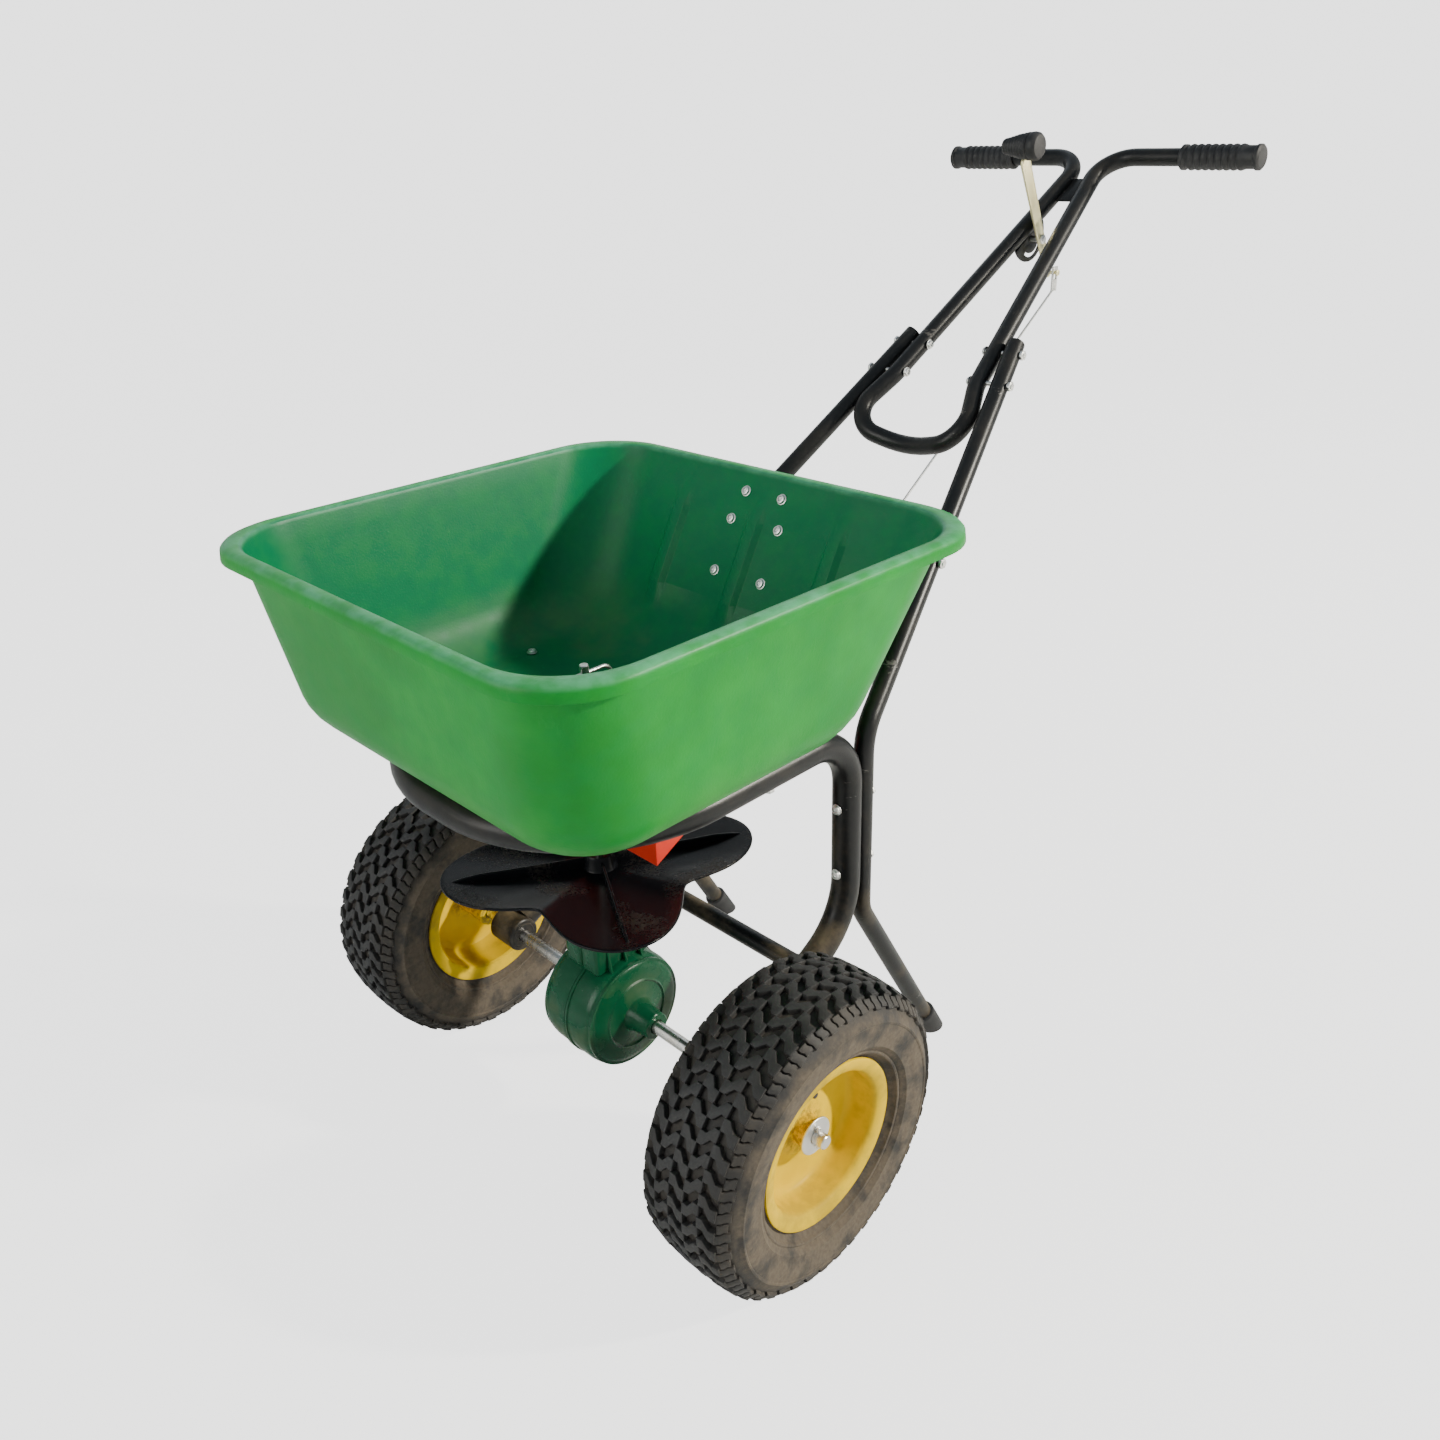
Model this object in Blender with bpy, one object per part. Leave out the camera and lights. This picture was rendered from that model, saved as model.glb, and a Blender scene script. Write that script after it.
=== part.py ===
"""Walk-behind broadcast spreader with a plastic hopper, a tube frame and two pneumatic wheels.

Metres, +Z up, the front of the machine is -Y. Right and left are as seen from the front, so
the right wheel is at +X. The empty "spreader" carries every piece, and its own origin lies on
the floor below the axle.
"""
import math

import bmesh
import bpy
from mathutils import Matrix, Vector

# Clearances
TOUCH = 0.0003
TURNING = 0.0006

# Wheels and axle
TYRE_RADIUS = 0.165
TYRE_HALF_WIDTH = 0.0615
TYRE_WALL = 0.007
RIM_FLANGE_RADIUS = 0.092
RIM_BEAD_RADIUS = 0.0785
RIM_HALF_WIDTH = 0.0476
RIM_SHEET = 0.003
TRACK = 0.566
HUB_RADIUS = 0.0165
HUB_OUTER_REACH = 0.027
HUB_INNER_REACH = 0.045
AXLE_RADIUS = 0.0075
AXLE_END_REACH = 0.016
WASHER_RADIUS = 0.0205
WASHER_THICKNESS = 0.0025
PIN_RADIUS = 0.002
VALVE_CIRCLE = 0.052
VALVE_RADIUS = 0.0042

# Hopper frame, one bent tube
FRAME_TUBE_RADIUS = 0.016
FRAME_WALL = 0.002
FRAME_HALF_WIDTH = 0.189
FRAME_HEIGHT = 0.500
FRAME_FRONT = -0.180
FRAME_REAR = 0.192
FRAME_FRONT_BEND = 0.172
FRAME_TOP_BEND = 0.060
FRAME_LOW_BEND = 0.090
FRAME_LOW_CORNER = 0.266
BEARING_RADIUS = 0.021
BEARING_LENGTH = 0.044
CROSS_TUBE_RADIUS = 0.0105
CROSS_TUBE_SETBACK = 0.125

# Handle tubes
HANDLE_TUBE_RADIUS = 0.0111
HANDLE_WALL = 0.0018
HANDLE_LOW_BEND_HEIGHT = 0.262
HANDLE_HIGH_BEND_HEIGHT = 0.487
HANDLE_BEND = 0.050
HANDLE_RISE = 0.788
HANDLE_CONVERGE = 0.2635
LOWER_HANDLE_END = 0.644
LEG_SETBACK = 0.146
GRIP_BAR_SETBACK = 0.935
GRIP_BAR_HEIGHT = 1.022
GRIP_HALF_SPAN = 0.228
GRIP_LENGTH = 0.104
GRIP_RADIUS = 0.016
GRIP_END_WALL = 0.004
ARM_TOP_HALF_GAP = 0.013
ARM_TOP_BEND = 0.042
ARM_LOW_BEND = 0.060
ARM_DROP = 0.0025
ARM_LOW_SETBACK = 0.585
CROOK_HALF_WIDTH = 0.092
CROOK_SETBACK = 0.520
CROOK_HEIGHT = 0.726
CROOK_BOTTOM_SETBACK = 0.534
CROOK_BOTTOM_HEIGHT = 0.702
CROOK_BEND = 0.036
CROOK_BOTTOM_BEND = 0.120
GUSSET_LOW_SETBACK = 0.862
GUSSET_HIGH_SETBACK = 0.898
GUSSET_SHEET = 0.0025
HANDLE_BOLT_SETBACKS = (("upper", 0.632), ("lower", 0.592))
FRAME_BOLT_HEIGHTS = (("upper", 0.412), ("lower", 0.330))
FOOT_HEIGHT = 0.030
FOOT_WALL = 0.004
FOOT_SOLE = 0.004

# Hopper
RIM_HEIGHT = 0.724
HOPPER_HALF_WIDTH = 0.290
HOPPER_FRONT = -0.254
HOPPER_REAR = 0.300
HOPPER_CORNER = 0.078
BASE_HALF_WIDTH = 0.242
BASE_FRONT = -0.210
BASE_REAR = 0.174
BASE_CORNER = 0.088
BASE_ROUND = 0.050
HOPPER_WALL = 0.0035
LIP_WIDTH = 0.013
LIP_DROP = 0.016
LIP_ROUND = 0.005
LIP_SHEET = 0.0045
SIDE_BOW = 0.005
RIB_SPACING = 0.118
RIB_HALF_WIDTH = 0.013
RIB_DEPTH = 0.006
PORT_HALF_WIDTH = 0.050
PORT_FRONT = 0.026
PORT_REAR = 0.060

# Gate under the hopper
GATE_SHEET = 0.002
GATE_OVERLAP = 0.0015
GATE_HALF_WIDTH = 0.055
GATE_LENGTH = 0.150
GATE_TAB_LENGTH = 0.085
GATE_TAB_HALF_WIDTH = 0.014
GUIDE_FRONT = -0.022
GUIDE_REAR = 0.122
GUIDE_SIDE = 0.003
CHUTE_HALF_WIDTH = 0.080
CHUTE_FRONT = 0.013
CHUTE_REAR = 0.070
CHUTE_WALL = 0.0025
CHUTE_FRONT_HEIGHT = 0.371
CHUTE_REAR_HEIGHT = 0.400

# Gearbox, gears and impeller
DRUM_RADIUS = 0.069
DRUM_HALF_WIDTH = 0.044
CASE_WALL = 0.0035
NECK_HALF_WIDTH = 0.028
NECK_HALF_DEPTH = 0.038
NECK_TOP = 0.292
BOSS_RADIUS = 0.0175
BOSS_REACH = 0.078
CROWN_TEETH = 36
PINION_TEETH = 6
CROWN_PITCH_RADIUS = 0.054
TOOTH_LENGTH = 0.010
TOOTH_HEIGHT = 0.0048
TOOTH_CLEAR = 0.0006
SHAFT_RADIUS = 0.005
SHAFT_BUSH_WALL = 0.004
SHAFT_TOP = 0.585
IMPELLER_HEIGHT = 0.342
IMPELLER_RADIUS = 0.172
IMPELLER_WAIST = 0.112
IMPELLER_SHEET = 0.003
IMPELLER_RISE = 0.010
IMPELLER_LOBES = 4
IMPELLER_TURN = math.radians(60)
VANE_HEIGHT = 0.014
VANE_THICKNESS = 0.003
IMPELLER_HUB_RADIUS = 0.018
IMPELLER_HUB_HEIGHT = 0.030

# Flow control lever
LEVER_X = -0.0112
LEVER_SHEET = 0.003
LEVER_HALF_WIDTH = 0.0100
LEVER_PIVOT_SETBACK = 0.830
LEVER_PIVOT_HEIGHT = 0.925
LEVER_TILT = math.radians(27.5)
LEVER_UP = 0.118
LEVER_TAIL = 0.050
PIVOT_RADIUS = 0.004
KNOB_LENGTH = 0.054
KNOB_RADIUS = 0.0175
KNOB_TIP_RADIUS = 0.010
BRACKET_SHEET = 0.003
BRACKET_RADIUS = 0.036
ROD_RADIUS = 0.0015
ROD_BEND = 0.030
ROD_SLOPE = 0.694
LINK_HALF_WIDTH = 0.006
LINK_PIN_RADIUS = 0.0025

# Fasteners
BOLT_RADIUS = 0.003
HEAD_RADIUS = 0.0062
HEAD_HEIGHT = 0.004
NUT_HEIGHT = 0.005
HEAD_STAND = 0.0012
NUT_STAND = 0.0020
WALL_BOLT_ROWS = ((0.027, 0.699), (0.036, 0.669), (0.036, 0.615))
BRACE_HALF_WIDTH = 0.052
FLOOR_BOLT_SETBACK = 0.070
BRACE_SHEET = 0.003
BRACE_SETBACK = 0.392
BRACE_ARM_HALF_DEPTH = 0.010
BRACE_TAB_REACH = 0.012
BRACE_TUBE_GAP = 0.0008

# Values worked out from the driving dimensions
AXLE_HEIGHT = TYRE_RADIUS
FLOOR_HEIGHT = FRAME_HEIGHT + FRAME_TUBE_RADIUS + TOUCH
HANDLE_FOOT = FRAME_REAR + FRAME_TUBE_RADIUS + HANDLE_TUBE_RADIUS + TOUCH
AXLE_HALF_LENGTH = TRACK / 2 + HUB_OUTER_REACH + AXLE_END_REACH
GATE_HEIGHT = FLOOR_HEIGHT - TOUCH - GATE_SHEET
GUIDE_HEIGHT = GATE_HEIGHT - TOUCH - GATE_SHEET
GATE_FRONT = PORT_REAR + GATE_OVERLAP
FRONT_EXTENT = HOPPER_FRONT
REAR_EXTENT = GRIP_BAR_SETBACK + GRIP_RADIUS
PINION_PITCH_RADIUS = CROWN_PITCH_RADIUS * PINION_TEETH / CROWN_TEETH
PINION_REACH = PINION_PITCH_RADIUS + TOOTH_HEIGHT / 2
ORIGIN_SHIFT = -(FRONT_EXTENT + REAR_EXTENT) / 2
ARC_STEP = math.radians(20)
TUBE_SIDES = 10
TURNED_STEPS = 24
SMALL_STEPS = 12
DRILL_SIDES = 8
GRIP_STEPS = 16

X_AXIS = Vector((1, 0, 0))
Y_AXIS = Vector((0, 1, 0))
Z_AXIS = Vector((0, 0, 1))


def clear_scene():
    for obj in list(bpy.data.objects):
        bpy.data.objects.remove(obj, do_unlink=True)


def material(name, colour, roughness, metallic=0.0):
    made = bpy.data.materials.new(name)
    made.use_nodes = True
    shader = made.node_tree.nodes["Principled BSDF"]
    shader.inputs["Base Color"].default_value = (*colour, 1.0)
    shader.inputs["Roughness"].default_value = roughness
    shader.inputs["Metallic"].default_value = metallic
    return made


def empty(name, place, parent=None):
    made = bpy.data.objects.new(name, None)
    made.location = place
    made.parent = parent
    bpy.context.collection.objects.link(made)
    return made


def finish(bm, name, look, parent, smooth=True):
    """Turn a bmesh into a named object that hangs from a parent empty."""
    bmesh.ops.remove_doubles(bm, verts=bm.verts, dist=1e-6)
    bmesh.ops.recalc_face_normals(bm, faces=bm.faces)
    mesh = bpy.data.meshes.new(name)
    bm.to_mesh(mesh)
    bm.free()
    made = bpy.data.objects.new(name, mesh)
    made.parent = parent
    bpy.context.collection.objects.link(made)
    if look is not None:
        mesh.materials.append(look)
    if smooth:
        mesh.shade_smooth()
        mesh.set_sharp_from_angle(angle=math.radians(35))
    return made


def combine(target, tool, operation):
    """Add a Boolean of target and tool, and turn the tool into a hidden helper."""
    tool.hide_render = True
    tool.display_type = "WIRE"
    modifier = target.modifiers.new(tool.name, "BOOLEAN")
    modifier.operation = operation
    modifier.object = tool


def turned(profile, axis=Z_AXIS, place=(0, 0, 0), steps=TURNED_STEPS):
    """Spin a closed outline of (radius, height) points round an axis through place."""
    bm = bmesh.new()
    verts = [bm.verts.new((radius, 0, height)) for radius, height in profile]
    edges = [bm.edges.new(pair) for pair in zip(verts, verts[1:])]
    if profile[0][0] > 0 or profile[-1][0] > 0:
        edges.append(bm.edges.new((verts[-1], verts[0])))
    bmesh.ops.spin(
        bm, geom=verts + edges, cent=(0, 0, 0), axis=Z_AXIS, dvec=(0, 0, 0),
        angle=2 * math.pi, steps=steps, use_merge=True,
    )
    turn = Z_AXIS.rotation_difference(Vector(axis)).to_matrix().to_4x4()
    bmesh.ops.transform(bm, matrix=Matrix.Translation(place) @ turn, verts=bm.verts)
    return bm


def cylinder(radius, start, end, steps=SMALL_STEPS):
    """A solid round bar between two points."""
    start = Vector(start)
    along = Vector(end) - start
    outline = [(0, 0), (radius, 0), (radius, along.length), (0, along.length)]
    return turned(outline, along.normalized(), start, steps)


def prism(outline, start, end):
    """A flat outline of 3-D points moved from offset start to offset end."""
    bm = bmesh.new()
    verts = [bm.verts.new(Vector(point) + Vector(start)) for point in outline]
    face = bm.faces.new(verts)
    grown = bmesh.ops.extrude_face_region(bm, geom=[face])["geom"]
    moved = [item for item in grown if isinstance(item, bmesh.types.BMVert)]
    bmesh.ops.translate(bm, verts=moved, vec=Vector(end) - Vector(start))
    return bm


def box(low, high):
    """A plain block between two corners."""
    outline = [
        (low[0], low[1], 0), (high[0], low[1], 0), (high[0], high[1], 0), (low[0], high[1], 0)
    ]
    return prism(outline, (0, 0, low[2]), (0, 0, high[2]))


def arc(centre, radius, start, end, steps):
    """Points of a plane arc, angles in degrees."""
    points = []
    for step in range(steps + 1):
        angle = math.radians(start + (end - start) * step / steps)
        points.append((centre[0] + radius * math.cos(angle), centre[1] + radius * math.sin(angle)))
    return points


def bent_path(corners, bends):
    """A path of straight runs joined by arcs, one bend radius for each inner corner."""
    corners = [Vector(corner) for corner in corners]
    path = [corners[0]]
    for before, corner, after, bend in zip(corners, corners[1:], corners[2:], bends):
        arriving = (corner - before).normalized()
        leaving = (after - corner).normalized()
        turn = arriving.angle(leaving)
        reach = bend * math.tan(turn / 2)
        inward = (leaving - arriving).normalized()
        centre = corner + inward * (bend / math.cos(turn / 2))
        spoke = corner - arriving * reach - centre
        hinge = arriving.cross(leaving).normalized()
        steps = max(1, math.ceil(turn / ARC_STEP))
        for step in range(steps + 1):
            path.append(centre + Matrix.Rotation(turn * step / steps, 3, hinge) @ spoke)
    path.append(corners[-1])
    return path


def tube(path, radius, wall=0.0, sides=TUBE_SIDES):
    """A tube along a path, hollow and open at both ends when it has a wall."""
    bm = bmesh.new()
    tangents = []
    for index, point in enumerate(path):
        arriving = point - path[index - 1] if index else path[1] - point
        leaving = path[index + 1] - point if index + 1 < len(path) else arriving
        tangents.append((arriving.normalized() + leaving.normalized()).normalized())
    side = tangents[0].orthogonal().normalized()
    skins = [[], []] if wall else [[]]
    for index, point in enumerate(path):
        if index:
            side = tangents[index - 1].rotation_difference(tangents[index]) @ side
        side = (side - tangents[index] * side.dot(tangents[index])).normalized()
        up = tangents[index].cross(side)
        for skin, size in zip(skins, (radius, radius - wall)):
            ring = []
            for step in range(sides):
                angle = 2 * math.pi * step / sides
                offset = side * math.cos(angle) + up * math.sin(angle)
                ring.append(bm.verts.new(point + offset * size))
            skin.append(ring)
    for skin in skins:
        for low, high in zip(skin, skin[1:]):
            stitch(bm, low, high)
    if wall:
        stitch(bm, skins[0][0], skins[1][0])
        stitch(bm, skins[0][-1], skins[1][-1])
    else:
        bm.faces.new(skins[0][0])
        bm.faces.new(skins[0][-1])
    return bm


def loft(stations):
    """A solid bar through a row of four-cornered sections."""
    bm = bmesh.new()
    rings = [[bm.verts.new(point) for point in station] for station in stations]
    for low, high in zip(rings, rings[1:]):
        stitch(bm, low, high)
    bm.faces.new(rings[0])
    bm.faces.new(rings[-1])
    return bm


def stitch(bm, low, high):
    """Quads between two rings with the same number of points."""
    count = len(low)
    for index in range(count):
        after = (index + 1) % count
        bm.faces.new((low[index], low[after], high[after], high[index]))


def bolt(name, head, nut, look, parent):
    """A bolt and its nut as one solid, from under the head to under the nut."""
    head = Vector(head)
    along = (Vector(nut) - head).normalized()
    length = (Vector(nut) - head).length
    outline = [
        (0, -HEAD_HEIGHT), (HEAD_RADIUS, -HEAD_HEIGHT), (HEAD_RADIUS, 0), (BOLT_RADIUS, 0),
        (BOLT_RADIUS, length), (HEAD_RADIUS, length), (HEAD_RADIUS, length + NUT_HEIGHT),
        (0, length + NUT_HEIGHT),
    ]
    return finish(turned(outline, along, head, 6), name, look, parent)


def around(radius, sides):
    """Corner radius of a polygon whose flats clear a circle of the given radius."""
    return radius / math.cos(math.pi / sides)


def drill(target, start, end, radius):
    """Cut a hole through target that clears a round bar of the given radius."""
    bar = cylinder(around(radius, DRILL_SIDES), start, end, DRILL_SIDES)
    tool = finish(bar, target.name + "_drill", None, target.parent, False)
    combine(target, tool, "DIFFERENCE")


# --- Wheels ------------------------------------------------------------------------------


def rim_outline():
    """Pressed steel rim, its web and the hub tube; the outer face is at positive height."""
    edge = RIM_HALF_WIDTH
    sheet = RIM_SHEET
    bead = RIM_BEAD_RADIUS
    bore = AXLE_RADIUS + TURNING
    return [
        (bore, -HUB_INNER_REACH), (HUB_RADIUS, -HUB_INNER_REACH), (HUB_RADIUS, 0.007),
        (0.028, 0.008), (0.040, 0.004), (0.060, 0.004), (bead - sheet, 0.006),
        (bead - sheet, -edge + 0.004), (RIM_FLANGE_RADIUS - 0.002, -edge),
        (RIM_FLANGE_RADIUS, -edge + sheet), (bead + 0.003, -edge + sheet + 0.001), (bead, -edge + 0.008),
        (bead, edge - 0.008), (bead + 0.003, edge - sheet - 0.001), (RIM_FLANGE_RADIUS, edge - sheet),
        (RIM_FLANGE_RADIUS - 0.002, edge), (bead - sheet, edge - 0.004), (bead - sheet, 0.012),
        (0.060, 0.008), (0.040, 0.008), (0.028, 0.012), (HUB_RADIUS, 0.011),
        (HUB_RADIUS, HUB_OUTER_REACH), (bore, HUB_OUTER_REACH),
    ]


def tyre_outline():
    """Tyre shell from bead to bead, open towards the rim."""
    wide = TYRE_HALF_WIDTH
    seat = RIM_BEAD_RADIUS + TOUCH
    heel = RIM_HALF_WIDTH - RIM_SHEET - TOUCH * 5
    crown = TYRE_RADIUS
    bulge = seat + (crown - seat) * 0.58
    outer = [
        (seat + 0.004, heel - 0.004), (RIM_FLANGE_RADIUS + 0.003, heel - 0.001),
        (seat + (crown - seat) * 0.30, wide - 0.005), (bulge, wide),
        (crown - 0.012, wide - 0.007), (crown - 0.001, wide - 0.032),
    ]
    inner = []
    for radius, height in outer[2:]:
        inner.append((radius - TYRE_WALL * (1 if radius > bulge else 0.2), height - TYRE_WALL * 0.9))
    toe = [(seat + 0.016, heel - 0.013), (seat + 0.003, heel - 0.018), (seat, heel - 0.013), (seat, heel - 0.006)]
    upper = toe[::-1][:1] + outer
    shell = upper + [(crown, 0.0)] + [(radius, -height) for radius, height in reversed(upper)]
    lining = [(seat, heel - 0.013), (seat + 0.003, heel - 0.018), (seat + 0.016, heel - 0.013)] + inner
    lining_far = [(radius, -height) for radius, height in lining]
    return shell + lining_far + [(crown - TYRE_WALL, 0.0)] + lining[::-1]


def wheel(side, looks, spinner):
    """One wheel: rim, tyre and valve, with its outer face towards side (+1 right, -1 left)."""
    word = "right" if side > 0 else "left"
    outwards = X_AXIS * side
    centre = (side * TRACK / 2, 0, 0)
    rim = finish(turned(rim_outline(), outwards, centre), "rim_" + word, looks["yellow"], spinner)
    finish(turned(tyre_outline(), outwards, centre), "tyre_" + word, looks["rubber"], spinner)
    valve_start = Vector((centre[0], 0, VALVE_CIRCLE))
    valve = [(0, 0), (VALVE_RADIUS, 0), (VALVE_RADIUS, 0.022), (VALVE_RADIUS * 0.7, 0.030), (0, 0.030)]
    drill(rim, valve_start, valve_start + outwards * 0.02, VALVE_RADIUS + TOUCH)
    finish(turned(valve, outwards, valve_start, 8), "valve_stem_" + word, looks["black"], spinner)
    return rim


def make_wheels(looks, root):
    """Both wheels and the axle. The left wheel is pinned to the axle and the right one runs free."""
    axle_spin = empty("axle_spin", (0, 0, AXLE_HEIGHT), root)
    free_spin = empty("free_wheel_spin", (0, 0, AXLE_HEIGHT), root)
    half = AXLE_HALF_LENGTH
    axle = finish(cylinder(AXLE_RADIUS, (-half, 0, 0), (half, 0, 0), 16), "axle", looks["bright"], axle_spin)
    left_rim = wheel(-1, looks, axle_spin)
    wheel(1, looks, free_spin)
    washer_start = TRACK / 2 + HUB_OUTER_REACH + TOUCH
    washer = [
        (AXLE_RADIUS + TOUCH, 0), (WASHER_RADIUS, 0), (WASHER_RADIUS, WASHER_THICKNESS),
        (AXLE_RADIUS + TOUCH, WASHER_THICKNESS),
    ]
    finish(turned(washer, X_AXIS, (washer_start, 0, 0), 16), "hub_washer", looks["zinc"], axle_spin)
    pin_place = washer_start + WASHER_THICKNESS + TOUCH * 2 + PIN_RADIUS
    reach = AXLE_RADIUS + 0.006
    drill(axle, (pin_place, 0, -reach), (pin_place, 0, reach), PIN_RADIUS + TOUCH)
    finish(
        cylinder(PIN_RADIUS, (pin_place, 0, -reach), (pin_place, 0, reach), 8),
        "cotter_pin", looks["zinc"], axle_spin,
    )
    drive_place = -TRACK / 2 + HUB_INNER_REACH - 0.012
    reach = HUB_RADIUS + 0.005
    drill(axle, (drive_place, 0, -reach), (drive_place, 0, reach), PIN_RADIUS + TOUCH)
    drill(left_rim, (drive_place, 0, -reach), (drive_place, 0, reach), PIN_RADIUS + TOUCH)
    finish(
        cylinder(PIN_RADIUS, (drive_place, 0, -reach), (drive_place, 0, reach), 8),
        "drive_pin", looks["zinc"], axle_spin,
    )
    return axle_spin


# --- Frame -------------------------------------------------------------------------------


def frame_path():
    """Centre line of the hopper frame, from the left axle bearing round the front to the right."""
    low = Vector((FRAME_HALF_WIDTH, FRAME_REAR, FRAME_LOW_CORNER))
    axle = Vector((FRAME_HALF_WIDTH, 0, AXLE_HEIGHT))
    start = axle + (low - axle).normalized() * (BEARING_RADIUS + TOUCH)
    right = [
        start, low, Vector((FRAME_HALF_WIDTH, FRAME_REAR, FRAME_HEIGHT)),
        Vector((FRAME_HALF_WIDTH, FRAME_FRONT, FRAME_HEIGHT)),
    ]
    left = [Vector((-point.x, point.y, point.z)) for point in right]
    bends = [FRAME_LOW_BEND, FRAME_TOP_BEND, FRAME_FRONT_BEND]
    return bent_path(left + right[::-1], bends + bends[::-1])


def frame_slope_height(setback):
    """Height of the frame tube's centre line where it runs down to the axle."""
    return AXLE_HEIGHT + setback * (FRAME_LOW_CORNER - AXLE_HEIGHT) / FRAME_REAR


def make_frame(looks, root):
    frame = finish(tube(frame_path(), FRAME_TUBE_RADIUS, FRAME_WALL), "hopper_frame", looks["black"], root)
    height = frame_slope_height(CROSS_TUBE_SETBACK)
    reach = FRAME_HALF_WIDTH - FRAME_TUBE_RADIUS - TOUCH
    cross = [Vector((-reach, CROSS_TUBE_SETBACK, height)), Vector((reach, CROSS_TUBE_SETBACK, height))]
    finish(tube(cross, CROSS_TUBE_RADIUS, HANDLE_WALL), "cross_tube", looks["black"], root)
    outline = [
        (AXLE_RADIUS + TURNING, -BEARING_LENGTH / 2), (BEARING_RADIUS, -BEARING_LENGTH / 2),
        (BEARING_RADIUS, BEARING_LENGTH / 2), (AXLE_RADIUS + TURNING, BEARING_LENGTH / 2),
    ]
    for side, word in ((1, "right"), (-1, "left")):
        place = (side * FRAME_HALF_WIDTH, 0, AXLE_HEIGHT)
        finish(turned(outline, X_AXIS, place, 16), "axle_bearing_" + word, looks["black"], root)
    return frame


# --- Handle ------------------------------------------------------------------------------


def lower_handle_point(setback):
    """Centre of the right lower handle tube above its upper bend."""
    run = setback - HANDLE_FOOT
    return Vector((
        FRAME_HALF_WIDTH - HANDLE_CONVERGE * run, setback, HANDLE_HIGH_BEND_HEIGHT + HANDLE_RISE * run
    ))


def leg_tip():
    return Vector((FRAME_HALF_WIDTH, HANDLE_FOOT + LEG_SETBACK, FOOT_SOLE + HANDLE_TUBE_RADIUS / 2))


def lower_handle_path(side):
    corners = [
        leg_tip(), Vector((FRAME_HALF_WIDTH, HANDLE_FOOT, HANDLE_LOW_BEND_HEIGHT)),
        Vector((FRAME_HALF_WIDTH, HANDLE_FOOT, HANDLE_HIGH_BEND_HEIGHT)),
        lower_handle_point(LOWER_HANDLE_END),
    ]
    corners = [Vector((side * corner.x, corner.y, corner.z)) for corner in corners]
    return bent_path(corners, [HANDLE_BEND, HANDLE_BEND])


def arm_point(setback):
    """Centre of the right arm of the upper handle between its lower and upper bends."""
    beside = lower_handle_point(LOWER_HANDLE_END)
    yaw = math.atan(HANDLE_CONVERGE)
    apart = (2 * HANDLE_TUBE_RADIUS + TOUCH) / math.cos(yaw)
    low = Vector((beside.x - apart, LOWER_HANDLE_END, beside.z - ARM_DROP))
    top = Vector((ARM_TOP_HALF_GAP, GRIP_BAR_SETBACK, GRIP_BAR_HEIGHT))
    return low + (top - low) * (setback - low.y) / (top.y - low.y)


def upper_handle_path():
    """Centre line from the left grip, down the left arm, round the crook and up to the right grip."""
    right = [
        Vector((0, CROOK_BOTTOM_SETBACK, CROOK_BOTTOM_HEIGHT)),
        Vector((CROOK_HALF_WIDTH, CROOK_SETBACK, CROOK_HEIGHT)),
        arm_point(ARM_LOW_SETBACK),
        Vector((ARM_TOP_HALF_GAP, GRIP_BAR_SETBACK, GRIP_BAR_HEIGHT)),
        Vector((GRIP_HALF_SPAN - GRIP_END_WALL - TOUCH, GRIP_BAR_SETBACK, GRIP_BAR_HEIGHT)),
    ]
    left = [Vector((-point.x, point.y, point.z)) for point in right[:0:-1]]
    half = [ARM_TOP_BEND, ARM_LOW_BEND, CROOK_BEND]
    bends = half + [CROOK_BOTTOM_BEND] + half[::-1]
    return bent_path(left + right, bends)


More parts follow.
